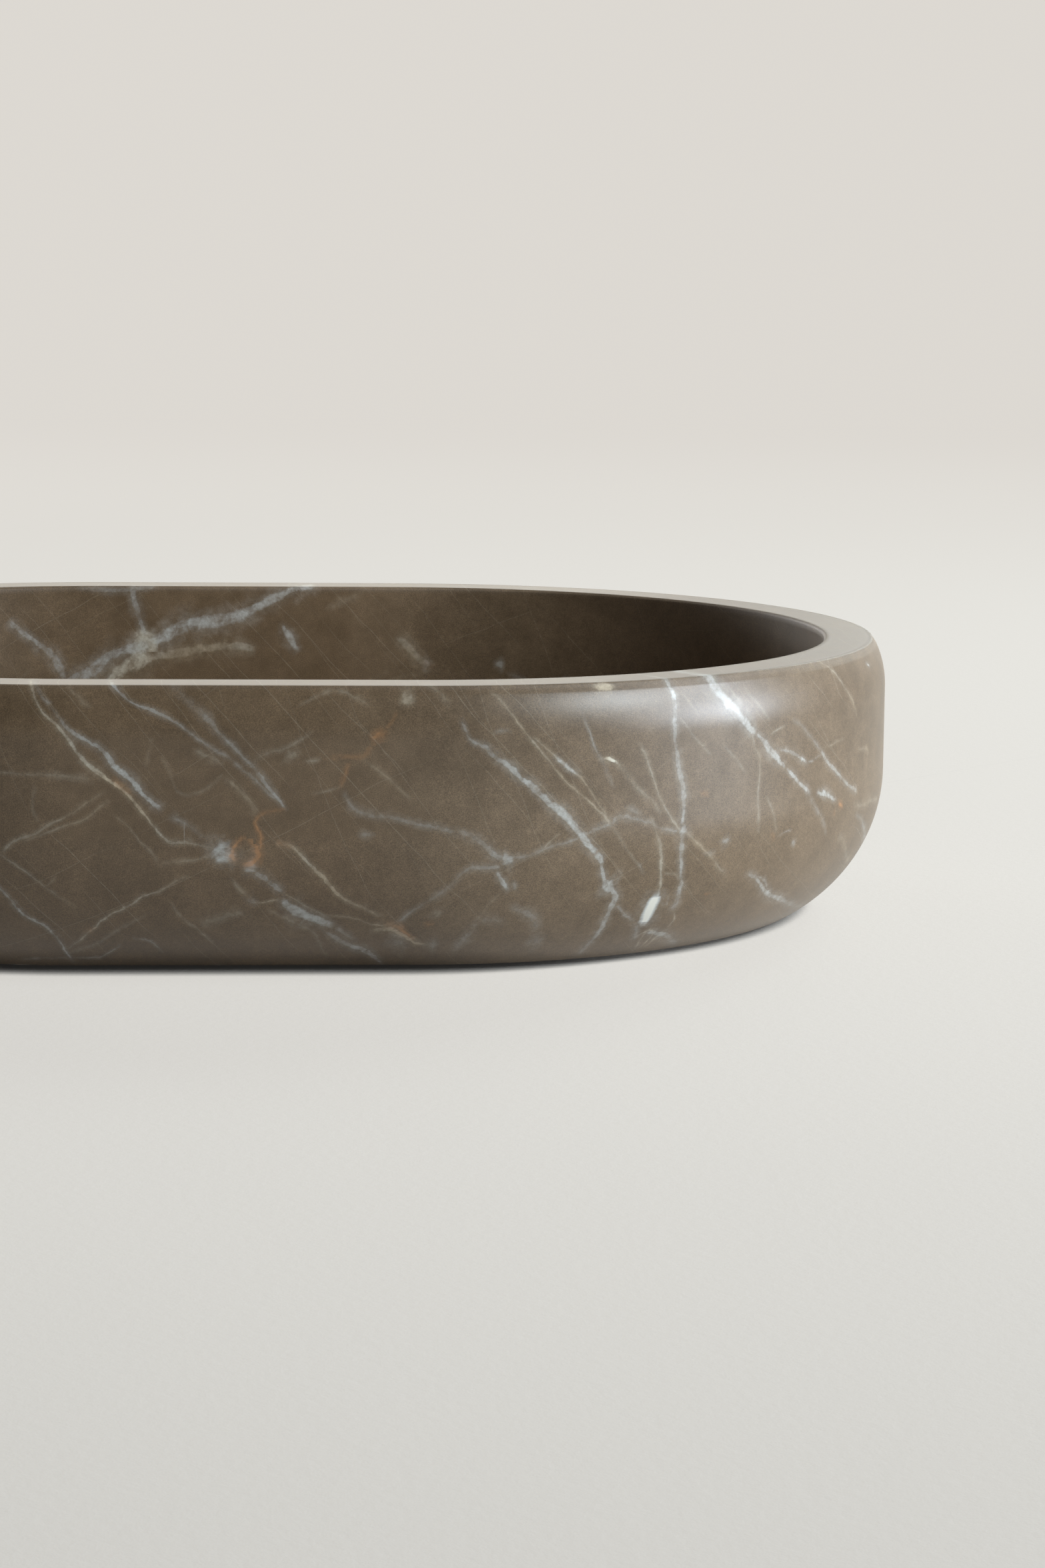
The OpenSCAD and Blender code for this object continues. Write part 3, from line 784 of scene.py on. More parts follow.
# Signed distance of each point to a sheet that runs from a line along inward. Both are seen along
# inward, so the sheet is a line again: the distance is the least over its short straight pieces,
# and the sign is the side. Strength fades at both ends and with the depth.
def sheetField(spots, line3d, inward, widths, strengths, depth):
    inward = inward / np.linalg.norm(inward)
    across = np.cross(inward, [0.0, 0.0, 1.0] if abs(inward[2]) < 0.9 else [0.0, 1.0, 0.0])
    across /= np.linalg.norm(across)
    upward = np.cross(across, inward)
    turned = np.stack([across, upward, inward], 1)
    seen, lineSeen = spots @ turned, line3d @ turned
    low, high = lineSeen.min(0) - sheets["margin"], lineSeen.max(0) + sheets["margin"]
    low[2], high[2] = low[2] - depth, high[2] + depth
    near = np.flatnonzero(((seen > low) & (seen < high)).all(1))
    here = seen[near]
    best = np.full(len(near), np.inf)
    signed = np.full(len(near), np.inf)
    travelled = np.zeros(len(near))
    depthHere = np.zeros(len(near))
    runs = np.linalg.norm(np.diff(lineSeen[:, :2], axis=0), axis=1)
    starts = np.concatenate([[0], np.cumsum(runs)])
    for i, run in enumerate(runs):
        if run < 1e-6:
            continue
        way = (lineSeen[i + 1, :2] - lineSeen[i, :2]) / run
        offset = here[:, :2] - lineSeen[i, :2]
        t = np.clip(offset @ way, 0, run)
        apart = np.linalg.norm(offset - t[:, None] * way, axis=1)
        side = offset[:, 0] * way[1] - offset[:, 1] * way[0]
        nearer = apart < best
        best = np.where(nearer, apart, best)
        signed = np.where(nearer, np.where(side < 0, -apart, apart), signed)
        travelled = np.where(nearer, starts[i] + t, travelled)
        level = lineSeen[i, 2] + (lineSeen[i + 1, 2] - lineSeen[i, 2]) * t / run
        depthHere = np.where(nearer, here[:, 2] - level, depthHere)
    total = starts[-1]
    share = travelled / total
    endFade = min(sheets["endFade"], sheets["endLimit"] * total)
    ends = np.clip(np.minimum(travelled, total - travelled) / endFade, 0, 1)
    fade = np.clip(sheets["depthFade"] - np.abs(depthHere) / depth, 0, 1)
    width = np.interp(share, np.linspace(0, 1, len(widths)), widths)
    power = np.interp(share, np.linspace(0, 1, len(strengths)), strengths)
    return near, signed, width, power * ends * fade


# The veins drawn for the outer wall, and how many of one tint a face of the mesh can show
tints = {"white": (whiteVeins, 2), "tan": (tanVeins, 2), "rust": (rustVeins, 1)}


# Stores the sheets of one tint that show most on each face, as signed distance, width and strength
# on its corners. All the corners of a face use the same sheet, so a line stays sharp inside a face.
def storeVeins(piece, spots, cornerSpot, cornerFace, unseen, tint, drawn, layers):
    veins = gatherVeins(tint, drawn)
    shape = (len(veins), len(spots))
    signed = np.full(shape, sheets["nowhere"][0], np.float32)
    width = np.full(shape, sheets["nowhere"][1], np.float32)
    power = np.zeros(shape, np.float32)
    for i, (isGrown, face, widths, strengths, depth, line) in enumerate(veins):
        line3d, inward = placeLine(face, smoothLine(line))
        near, apart, wide, strong = sheetField(spots, line3d, inward, widths, strengths, depth)
        signed[i, near], width[i, near] = apart, wide
        power[i, near] = strong * (unseen[near] if isGrown else 1)
    counts = np.bincount(cornerFace)
    ranks = np.empty((len(veins), len(counts)), np.float32)
    for i in range(len(veins)):
        reach = sheets["reach"][0] + sheets["reach"][1] * width[i]
        shows = power[i] * np.clip(sheets["reachFade"] - np.abs(signed[i]) / reach, 0, 1)
        ranks[i] = np.bincount(cornerFace, shows[cornerSpot]) / counts
    order = np.argsort(-ranks, axis=0, kind="stable")[:layers]
    for layer in range(layers):
        chosen = order[layer][cornerFace]
        values = np.stack([kept[chosen, cornerSpot] for kept in (signed, width, power)], 1)
        attribute = piece.data.attributes.new(f"{tint}Vein{layer + 1}", "FLOAT_VECTOR", "CORNER")
        attribute.data.foreach_set("vector", values.astype(np.float32).ravel())
    print("veins", tint, len(veins))


# How near each point is to an edge of the rim, from 0 to 1 at the edge itself
def edgeWear(spots):
    inset = halfWidth - np.linalg.norm(fromAxis(spots[:, 0], spots[:, 1]), axis=1)
    section = np.stack([inset, spots[:, 2]], 1)
    edges = sectionRows()[1][2:]
    apart = np.linalg.norm(section[:, None] - edges[None], axis=2).min(axis=1)
    return np.clip(1 - apart / stone["wornReach"], 0, 1)


# Reads the finished mesh back and stores the whole pattern on it.
def storePattern(piece):
    mesh = piece.data
    spots = np.empty(len(mesh.vertices) * 3)
    mesh.vertices.foreach_get("co", spots)
    spots = spots.reshape(-1, 3) / mm
    cornerSpot = np.empty(len(mesh.loops), np.int32)
    mesh.loops.foreach_get("vertex_index", cornerSpot)
    sizes = np.empty(len(mesh.polygons), np.int32)
    mesh.polygons.foreach_get("loop_total", sizes)
    cornerFace = np.repeat(np.arange(len(sizes)), sizes)
    unseen = unseenShare(spots)
    for tint, (drawn, layers) in tints.items():
        storeVeins(piece, spots, cornerSpot, cornerFace, unseen, tint, drawn, layers)
    worn = mesh.attributes.new("edgeWear", "FLOAT", "POINT")
    worn.data.foreach_set("value", edgeWear(spots).astype(np.float32))


# Finish of the stone. Sizes are in millimetres and colours are linear. Rows of four numbers that
# aren't colours are smooth steps of a noise here and below: from, to, and the results at both.
stone = {
    "dark": (0.096, 0.066, 0.039, 1),
    "light": (0.140, 0.098, 0.060, 1),
    "white": (0.385, 0.385, 0.36, 1),
    "bright": (0.62, 0.59, 0.51, 1),
    "cream": (0.41, 0.375, 0.30, 1),
    "tan": (0.42, 0.35, 0.25, 1),
    "rust": (0.42, 0.20, 0.08, 1),
    # Painted shade: the next rows make the ground darker and warmer towards the left end
    "leftShade": (0.88, 0.83, 0.76, 1),  # the ground is darker and warmer towards the left end
    "leftEdge": (6, 22),
    "leftWander": 14.0,
    "clouds": (0.33, 0.68),  # from the dark to the light ground
    "tanTurn": (0.4, 0.6),  # from tan to cream veins
    "grain": (0.15, 0.85, 0.4, 1.6),
    "fineTone": (0.2, 0.8, 0.88, 1.12),
    "roughness": 0.36,
    "veinRoughness": 0.34,
    "mottledRoughness": 0.08,
    "wornRoughness": 0.32,  # added where an edge of the rim has lost its polish
    "wornReach": 0.45,
    "specular": 0.5,
    "polish": 0.010,  # height of the finest waves, and depth of the veins
    "veinDip": 0.006,
    "bump": 0.5,
}

# Noises in the stone, as (changes per millimetre, detail, roughness, distortion)
noises = {
    "cloud": (0.055, 3.0, 0.55, 0.4),
    "slow": (0.16, 2.0, 0.5),
    "mottle": (0.4, 4.0, 0.6),
    "swirl": (0.7, 4.0, 0.7, 0.5),
    "fine": (1.3, 3.0, 0.6),
    "flecks": (1.9, 3.0, 0.75),
    "crumbs": (2.8, 3.0, 0.65),
    "polish": (6.0, 2.0, 0.6),
    "grain": (10.0, 2.0, 1.0),
}

# How a stored sheet becomes a vein
veinLook = {
    "wander": (0.4, 0.3),  # by the mottle and by the fine noise
    "swell": (0.32, 0.66, 0.75, 1.45),
    "crumble": 1.1,
    "coreWidth": 0.68,  # half of the core, as a share of the stored width
    "coreEdge": (0.05, 0.7),
    "strongCrumble": (0.8, 1.35, 1.0, 0.15),  # a strong or a wide vein crumbles less
    "wideCrumble": (0.3, 1.0, 1.0, 0.4),
    "unbroken": (1.0, 1.35),  # strengths between which the core closes its gaps
    "bodyReach": (1.6, 0.1),  # so many widths, and so far more
    "breaks": ((0.30, 0.64, 0.25, 1.0), (0.25, 0.7, 0.6, 1.0)),
    "wisps": ((0.34, 0.66, 0.25, 1.0), (0.3, 0.68, 0.55, 1.0)),
    "white": (0.92, 0.3),  # shares of the core and of the body
    "tan": (1.0, 0.28),
    "rust": (0.9, 0.45),
    "brightFrom": (0.95, 1.5),  # strengths between which a vein turns to the bright colour
    "rustShare": 0.9,
}

# Faint threads, as (turn of the sheets in degrees, distance between two of them, half width,
# changes per millimetre along a thread, range of the noise where it shows, strength)
threads = {
    "falling": ((6, 47, 12), 2.9, 0.055, 0.055, (0.50, 0.68), 0.26),
    "fallingFine": ((-12, 51, -16), 1.9, 0.040, 0.070, (0.50, 0.68), 0.22),
    "steep": ((-8, 68, -20), 3.7, 0.045, 0.060, (0.50, 0.68), 0.20),
    "rising": ((4, -31, 25), 4.1, 0.050, 0.060, (0.51, 0.68), 0.20),
}
threadLook = {
    "laneMiddle": (0.7, 0.15),  # spread of the threads' places in their lanes, and its start
    "laneApart": 7.3,
    "core": 0.2,  # full up to this share of the half width
    "bend": 0.9,  # by the slow noise, and by the mottle
    "ripple": 0.15,
    "breaks": (0.25, 0.65, 0.35, 1.0),
    "share": 0.75,
}


# Adds a node with its own settings. Each of its sockets given here gets a link or a plain value.
def addNode(tree, kind, sockets=(), **settings):
    made = tree.nodes.new(kind)
    for name, value in settings.items():
        setattr(made, name, value)
    for socket, value in dict(sockets).items():
        if isinstance(value, bpy.types.NodeSocket):
            tree.links.new(value, made.inputs[socket])
        elif value is not None:
            made.inputs[socket].default_value = value
    return made


def maths(tree, operation, first, second=None, clamp=False):
    sockets = {0: first, 1: second}
    made = addNode(tree, "ShaderNodeMath", sockets, operation=operation, use_clamp=clamp)
    return made.outputs[0]


# A smooth step of a value from one limit to the other, given as 0 to 1 or the two results
def easeStep(tree, value, low, high, start=0.0, end=1.0):
    sockets = {"Value": value, "From Min": low, "From Max": high, "To Min": start, "To Max": end}
    made = addNode(tree, "ShaderNodeMapRange", sockets, interpolation_type="SMOOTHSTEP")
    return made.outputs["Result"]


def blend(tree, share, first, second, kind="MIX"):
    sockets = {0: share, 6: first, 7: second}
    return addNode(tree, "ShaderNodeMix", sockets, data_type="RGBA", blend_type=kind).outputs[2]


def noise(tree, place, perMillimetre, detail=2.0, roughness=0.5, distortion=0.0):
    sockets = {"Vector": place, "Scale": perMillimetre, "Detail": detail}
    sockets |= {"Roughness": roughness, "Distortion": distortion}
    made = addNode(tree, "ShaderNodeTexNoise", sockets)
    return made.outputs["Fac"], made.outputs["Color"]


def vectorMaths(tree, operation, first, second=None, scale=None):
    sockets = {0: first, 1: second, "Scale": scale}
    return addNode(tree, "ShaderNodeVectorMath", sockets, operation=operation).outputs


# A noise turned into a swing of the given size round zero: (noise - 0.5) size
def swing(tree, value, size):
    return maths(tree, "MULTIPLY", maths(tree, "SUBTRACT", value, 0.5), size)


def vectorSwing(tree, colour, size):
    centred = vectorMaths(tree, "SUBTRACT", colour, (0.5, 0.5, 0.5))["Vector"]
    return vectorMaths(tree, "SCALE", centred, scale=size)["Vector"]


def vectorParts(tree, vector):
    return addNode(tree, "ShaderNodeSeparateXYZ", {"Vector": vector}).outputs


def newMaterial(name):
    material = bpy.data.materials.new(name)
    material.use_nodes = True
    material.node_tree.nodes.clear()
    return material, material.node_tree


# Object coordinates in millimetres
def objectPlace(tree):
    metres = addNode(tree, "ShaderNodeTexCoord").outputs["Object"]
    return vectorMaths(tree, "SCALE", metres, scale=1 / mm)["Vector"]


# Ends a material with its one surface. The finest waves come from height, in millimetres.
def addSurface(tree, finish, colour, roughness, height):
    waves = {"Strength": finish["bump"], "Distance": mm, "Height": height}
    bump = addNode(tree, "ShaderNodeBump", waves).outputs[0]
    look = {"Base Color": colour, "Roughness": roughness, "Normal": bump}
    look["Specular IOR Level"] = finish["specular"]
    shader = addNode(tree, "ShaderNodeBsdfPrincipled", look)
    addNode(tree, "ShaderNodeOutputMaterial", {"Surface": shader.outputs[0]})


# How much of a vein shows. The core is full in the middle of the vein and ends at a ragged edge,
# and the body is a wide, cloudy band round it, which shows most in a weak vein. wander moves the
# middle of the vein, swell widens or narrows it, and crumb eats into the edge of its core.
def veinShare(tree, attributeName, wander, swell, crumb, breaks, wisps, coreShare, bodyShare):
    stored = addNode(tree, "ShaderNodeAttribute", attribute_name=attributeName)
    apart, width, strength = vectorParts(tree, stored.outputs["Vector"])
    apart = maths(tree, "ABSOLUTE", maths(tree, "ADD", apart, wander))
    width = maths(tree, "MULTIPLY", width, swell)
    coreWidth = maths(tree, "MULTIPLY", width, veinLook["coreWidth"])
    inside = maths(tree, "SUBTRACT", 1.0, maths(tree, "DIVIDE", apart, coreWidth))
    crumb = maths(tree, "MULTIPLY", crumb, easeStep(tree, strength, *veinLook["strongCrumble"]))
    crumb = maths(tree, "MULTIPLY", crumb, easeStep(tree, width, *veinLook["wideCrumble"]))
    core = easeStep(tree, maths(tree, "ADD", inside, crumb), *veinLook["coreEdge"], 0.0, coreShare)
    unbroken = easeStep(tree, strength, *veinLook["unbroken"])
    core = maths(tree, "MULTIPLY", core, maths(tree, "MAXIMUM", breaks, unbroken))
    times, further = veinLook["bodyReach"]
    reach = maths(tree, "ADD", maths(tree, "MULTIPLY", width, times), further)
    body = maths(tree, "MULTIPLY", easeStep(tree, apart, 0.0, reach, bodyShare, 0.0), wisps)
    both = maths(tree, "MAXIMUM", maths(tree, "MULTIPLY", core, strength), body)
    return maths(tree, "MULTIPLY", both, maths(tree, "SQRT", strength))


# Thin threads: parallel sheets, each at a random place in its own lane. A noise that is different
# in each lane says where along the thread it shows.
def threadShare(tree, bent, turn, apartBy, halfThread, perMillimetre, limits, strength):
    sockets = {"Vector": bent, "Rotation": [math.radians(angle) for angle in turn]}
    lean = addNode(tree, "ShaderNodeMapping", sockets, vector_type="TEXTURE")
    x, y, z = vectorParts(tree, lean.outputs["Vector"])
    lanes = maths(tree, "DIVIDE", z, apartBy)
    lane = maths(tree, "FLOOR", lanes)
    dice = addNode(tree, "ShaderNodeTexWhiteNoise", {"W": lane}, noise_dimensions="1D")
    spread, start = threadLook["laneMiddle"]
    middle = maths(tree, "ADD", maths(tree, "MULTIPLY", dice.outputs["Value"], spread), start)
    middle = maths(tree, "ADD", lane, middle)
    apart = maths(tree, "ABSOLUTE", maths(tree, "SUBTRACT", lanes, middle))
    apart = maths(tree, "MULTIPLY", apart, apartBy)
    line = easeStep(tree, apart, halfThread * threadLook["core"], halfThread, strength, 0.0)
    along = addNode(tree, "ShaderNodeCombineXYZ", {
        0: maths(tree, "MULTIPLY", x, perMillimetre),
        1: maths(tree, "MULTIPLY", lane, threadLook["laneApart"]),
        2: maths(tree, "MULTIPLY", y, perMillimetre),
    })
    shows, _ = noise(tree, along.outputs[0], 1.0, 1.0)
    return maths(tree, "MULTIPLY", line, easeStep(tree, shows, *limits))


# All the threads, bent a little by two noises and broken by the flecks
def allThreads(tree, place, slowColour, mottleColour, flecks):
    bend = vectorSwing(tree, slowColour, threadLook["bend"])
    ripple = vectorSwing(tree, mottleColour, threadLook["ripple"])
    bent = vectorMaths(tree, "ADD", place, bend)["Vector"]
    bent = vectorMaths(tree, "ADD", bent, ripple)["Vector"]
    first, *others = (threadShare(tree, bent, *family) for family in threads.values())
    for other in others:
        first = maths(tree, "MAXIMUM", first, other)
    return maths(tree, "MULTIPLY", first, easeStep(tree, flecks, *threadLook["breaks"]))


# Colour of the plain stone: two browns in clouds, with painted shade that makes it darker and
# warmer towards the left end, and fine mottling and grain on top
def groundColour(tree, place, cloud, mottle, flecks, grain):
    clouds = maths(tree, "MULTIPLY", cloud, 0.5)
    clouds = maths(tree, "ADD", clouds, maths(tree, "MULTIPLY", mottle, 0.5))
    ground = blend(tree, easeStep(tree, clouds, *stone["clouds"]), stone["dark"], stone["light"])
    # Painted shade: the ground darkens and warms towards the left end
    sideways = vectorParts(tree, place)["X"]
    sideways = maths(tree, "ADD", sideways, swing(tree, cloud, stone["leftWander"]))
    toRight = easeStep(tree, sideways, *stone["leftEdge"])
    leftShade = blend(tree, toRight, stone["leftShade"], (1.0, 1.0, 1.0, 1.0))
    ground = blend(tree, 1.0, ground, leftShade, "MULTIPLY")
    tone = easeStep(tree, grain, *stone["grain"])
    tone = maths(tree, "MULTIPLY", tone, easeStep(tree, flecks, *stone["fineTone"]))
    grey = addNode(tree, "ShaderNodeCombineColor", {0: tone, 1: tone, 2: tone})
    return blend(tree, 1.0, ground, grey.outputs[0], "MULTIPLY")


def marbleMaterial():
    material, tree = newMaterial("honedBrownMarble")
    place = objectPlace(tree)
    made = {name: noise(tree, place, *values) for name, values in noises.items()}
    levels = (level for level, _ in made.values())
    cloud, slow, mottle, swirl, fine, flecks, crumbs, polish, grain = levels

    # The middle of a vein wanders by the sum of two noises.
    byMottle, byFine = veinLook["wander"]
    wander = maths(tree, "ADD", swing(tree, mottle, byMottle), swing(tree, fine, byFine))
    swell = easeStep(tree, mottle, *veinLook["swell"])
    crumb = swing(tree, crumbs, veinLook["crumble"])
    breaks, wisps = (
        maths(tree, "MULTIPLY", easeStep(tree, swirl, *bySwirl), easeStep(tree, flecks, *byFlecks))
        for bySwirl, byFlecks in (veinLook["breaks"], veinLook["wisps"])
    )
    shared = (wander, swell, crumb, breaks, wisps)
    white = [veinShare(tree, f"whiteVein{n}", *shared, *veinLook["white"]) for n in (1, 2)]
    tan = [veinShare(tree, f"tanVein{n}", *shared, *veinLook["tan"]) for n in (1, 2)]
    rust = veinShare(tree, "rustVein1", *shared, *veinLook["rust"])
    whiteShare = maths(tree, "MAXIMUM", *white)
    tanShare = maths(tree, "MAXIMUM", *tan)
    bothShares = maths(tree, "MAXIMUM", whiteShare, tanShare)

    # The ground comes first, then threads, tan veins, white veins, their bright hearts, and rust.
    hair = allThreads(tree, place, made["slow"][1], made["mottle"][1], flecks)
    hair = maths(tree, "MULTIPLY", hair, threadLook["share"])
    colour = groundColour(tree, place, cloud, mottle, flecks, grain)
    colour = blend(tree, hair, colour, blend(tree, slow, stone["cream"], stone["tan"]))
    tanColour = blend(tree, easeStep(tree, slow, *stone["tanTurn"]), stone["tan"], stone["cream"])
    colour = blend(tree, tanShare, colour, tanColour)
    colour = blend(tree, whiteShare, colour, stone["white"])
    brightShare = easeStep(tree, bothShares, *veinLook["brightFrom"])
    colour = blend(tree, brightShare, colour, stone["bright"])
    rustShare = maths(tree, "MULTIPLY", rust, veinLook["rustShare"])
    colour = blend(tree, rustShare, colour, stone["rust"])

    veined = maths(tree, "MAXIMUM", whiteShare, tanShare, clamp=True)
    roughness = easeStep(tree, veined, 0.0, 1.0, stone["roughness"], stone["veinRoughness"])
    roughness = maths(tree, "ADD", roughness, swing(tree, mottle, stone["mottledRoughness"]))
    worn = addNode(tree, "ShaderNodeAttribute", attribute_name="edgeWear").outputs["Fac"]
    worn = maths(tree, "MULTIPLY", worn, stone["wornRoughness"])
    roughness = maths(tree, "ADD", roughness, worn)
    waves = maths(tree, "MULTIPLY", polish, stone["polish"])
    height = maths(tree, "SUBTRACT", waves, maths(tree, "MULTIPLY", veined, stone["veinDip"]))
    addSurface(tree, stone, colour, roughness, height)
    return material


storePattern(marbleDish)
marbleDish.data.materials.append(marbleMaterial())
print("stone finish")

padFinish = {
    "colour": (0.022, 0.021, 0.020, 1),
    "worn": (0.05, 0.047, 0.043, 1),
    "wornFrom": (0.15, 0.4),
    "grain": (5.0, 3.0, 0.7),
    "smear": (0.6, 3.0, 0.6),
    "roughness": (0.2, 0.8, 0.68, 0.88),
    "grainHeight": 0.04,
    "bump": 0.6,
    "specular": 0.4,
}


# Soft rubber of the pads: fine grain, dust in its hollows and a matte sheen
def padMaterial():
    material, tree = newMaterial("padRubber")
    place = objectPlace(tree)
    grain, _ = noise(tree, place, *padFinish["grain"])
    smear, _ = noise(tree, place, *padFinish["smear"])
    share = easeStep(tree, maths(tree, "MULTIPLY", grain, smear), *padFinish["wornFrom"])
    colour = blend(tree, share, padFinish["colour"], padFinish["worn"])
    roughness = easeStep(tree, smear, *padFinish["roughness"])
    height = maths(tree, "MULTIPLY", grain, padFinish["grainHeight"])
    addSurface(tree, padFinish, colour, roughness, height)
    return material


rubber = padMaterial()
for name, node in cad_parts.items():
    if name.startswith("pad_"):
        node.data.materials.clear()
        node.data.materials.append(rubber)
print("pads")

# A pale floor under a pale room, in metres. What the camera and reflections see of them is mostly
# their own tone, which on the floor has a painted pool of light to the right of the dish and
# painted shade towards the front, and a part of the floor is lit, so that it keeps the shadow of
# the dish.
studio = {
    "floorSize": 40.0,
    "paper": (0.62, 0.60, 0.57, 1),
    "fibre": (900.0, 3.0, 0.7),
    "fibreBump": 0.3,
    "fibreHeight": 0.0002,
    # The floor's painted pool of light to the right of the dish, and its painted shade towards the
    # front
    "lightPoolTone": (0.80, 0.775, 0.725, 1),
    "plainTone": (0.72, 0.69, 0.645, 1),
    "frontShadeTone": (0.535, 0.515, 0.477, 1),
    "lightPoolSpot": (0.12, 0.06, 0.0),
    "lightPoolReach": (0.06, 0.42),
    "frontShadeEdge": (-0.20, 0.05),
    "litShare": 0.22,
    "litReach": (0.15, 0.80),
    "contactReach": (0.0024, 0.0016),  # how far from the dish its shadow begins, left and right
    "contactTurn": (0.012, 0.036),  # from where to where the left changes into the right
    "contactDark": 0.10,
    "contactPale": (0.66, 0.36),
    "contactTone": 0.02,
    "contactSamples": 12,
    "roomLight": 0.036,
    "frontTone": 0.16,  # share of the room's tone in reflections of the side towards -Y
    "frontTurn": (-0.5, 0.2),
    "backTone": 0.45,  # added in reflections of the side towards +Y
    "backTurn": (0.4, 0.9),
}


# One for the camera, reflections and what is seen through, and the camera alone
def seenShares(tree):
    rays = addNode(tree, "ShaderNodeLightPath").outputs
    mirrored = maths(tree, "MAXIMUM", rays["Is Glossy Ray"], rays["Is Transmission Ray"])
    return maths(tree, "MAXIMUM", rays["Is Camera Ray"], mirrored), rays["Is Camera Ray"]


# What the camera sees of the floor: its tone, with painted shade towards the front and a painted
# pool of light to the right of the dish. Close to the stone it darkens, a painted shadow, with the
# share of the sky that the stone hides, and less so at the right, where the lamps reach under it.
def floorGlow(tree, place):
    # Painted pool of light: the floor's tone brightens round a spot to the right of the dish
    apart = vectorMaths(tree, "DISTANCE", place, studio["lightPoolSpot"])["Value"]
    bright = easeStep(tree, apart, *studio["lightPoolReach"], 1.0, 0.0)
    sideways, depth, _ = vectorParts(tree, place)
    # Painted shade: the floor's tone darkens towards the front
    near = easeStep(tree, depth, *studio["frontShadeEdge"])
    tone = blend(tree, near, studio["frontShadeTone"], studio["plainTone"])
    tone = blend(tree, bright, tone, studio["lightPoolTone"])
    reach = easeStep(tree, sideways, *studio["contactTurn"], *studio["contactReach"])
    samples = studio["contactSamples"]
    hidden = addNode(tree, "ShaderNodeAmbientOcclusion", {"Distance": reach}, samples=samples)
    pale = easeStep(tree, sideways, *studio["contactTurn"], *studio["contactPale"])
    dark, deepest = studio["contactDark"], studio["contactTone"]
    contact = easeStep(tree, hidden.outputs["AO"], dark, pale, deepest, 1.0)
    return addNode(tree, "ShaderNodeEmission", {"Color": tone, "Strength": contact}).outputs[0]


def paleFloor():
    half = studio["floorSize"] / 2
    mesh = bpy.data.meshes.new("pale_floor")
    corners = [(-half, -half, 0), (half, -half, 0), (half, half, 0), (-half, half, 0)]
    mesh.from_pydata(corners, [], [(0, 1, 2, 3)])
    floor = bpy.data.objects.new("pale_floor", mesh)
    scene.collection.objects.link(floor)
    material, tree = newMaterial("palePaper")
    place = addNode(tree, "ShaderNodeTexCoord").outputs["Object"]
    seen, _ = seenShares(tree)
    fibre, _ = noise(tree, place, *studio["fibre"])
    waves = {"Strength": studio["fibreBump"], "Distance": studio["fibreHeight"], "Height": fibre}
    bump = addNode(tree, "ShaderNodeBump", waves).outputs[0]
    paper = addNode(tree, "ShaderNodeBsdfDiffuse", {"Color": studio["paper"], "Normal": bump})
    away = vectorMaths(tree, "DISTANCE", place, (0.0, 0.0, 0.0))["Value"]
    unlit = easeStep(tree, away, *studio["litReach"], 1 - studio["litShare"], 1.0)
    share = maths(tree, "MULTIPLY", seen, unlit)
    both = {0: share, 1: paper.outputs[0], 2: floorGlow(tree, place)}
    mixed = addNode(tree, "ShaderNodeMixShader", both)
    addNode(tree, "ShaderNodeOutputMaterial", {"Surface": mixed.outputs[0]})
    mesh.materials.append(material)


# The room is the floor's plain tone to the camera. In reflections it is darker in front of the dish
# and brighter behind it, and otherwise it is a faint light.
def paleRoom():
    world = bpy.data.worlds.new("paleRoom")
    world.use_nodes = True
    tree = world.node_tree
    tree.nodes.clear()
    seen, camera = seenShares(tree)
    way = addNode(tree, "ShaderNodeTexCoord").outputs["Generated"]
    towards = vectorParts(tree, way)["Y"]
    mirrored = easeStep(tree, towards, *studio["frontTurn"], studio["frontTone"], 1.0)
    behind = easeStep(tree, towards, *studio["backTurn"], 0.0, studio["backTone"])
    mirrored = maths(tree, "ADD", mirrored, behind)
    mirrored = easeStep(tree, camera, 0.0, 1.0, mirrored, 1.0)
    level = easeStep(tree, seen, 0.0, 1.0, studio["roomLight"], mirrored)
    tone = {"Color": studio["plainTone"], "Strength": level}
    shade = addNode(tree, "ShaderNodeBackground", tone)
    addNode(tree, "ShaderNodeOutputWorld", {"Surface": shade.outputs[0]})
    scene.world = world


paleFloor()
paleRoom()

# Soft lamps, as (light on the dish in watts per square metre, width and height of the lamp and its
# distance in metres, turn round the dish and height in degrees, colour). A turn of 0 is in front of
# the dish, and 90 at its right.
lamps = {
    "keySide": (0.60, 0.22, 0.22, 0.90, 44, 28, (0.90, 1.0, 1.06)),
    "key": (1.46, 0.22, 0.22, 0.90, 54, 28, (0.90, 1.0, 1.06)),
    "rightNear": (0.74, 0.24, 0.24, 0.90, 62, 9, (0.93, 1.02, 1.12)),
    "right": (2.10, 0.24, 0.24, 0.90, 78, 9, (0.93, 1.02, 1.12)),
    "rightHigh": (1.20, 0.24, 0.24, 0.90, 78, 30, (0.93, 1.02, 1.12)),
    "backRight": (1.30, 0.30, 0.30, 1.00, 140, 30, (0.90, 1.0, 1.0)),
    "back": (1.05, 0.30, 0.30, 1.00, 155, 28, (0.90, 1.0, 1.0)),
    "backLow": (0.10, 0.50, 0.20, 1.00, 187, 11, (1.0, 1.0, 0.88)),
    "backLeft": (1.10, 0.30, 0.24, 1.00, 204, 12, (1.0, 1.0, 0.98)),
    "backLeftFar": (0.90, 0.30, 0.24, 1.00, 218, 12, (1.0, 1.0, 0.98)),
}

# A spot that reaches the far inner wall over the front rim, with its aim in millimetres and its
# cone in degrees
hollowSpot = {
    "light": 0.31,
    "radius": 0.02,
    "distance": 0.9,
    "turn": 4,
    "lift": 42,
    "colour": (1.0, 0.98, 0.94),
    "aim": (13, 41, 20),
    "cone": 5.2,
}


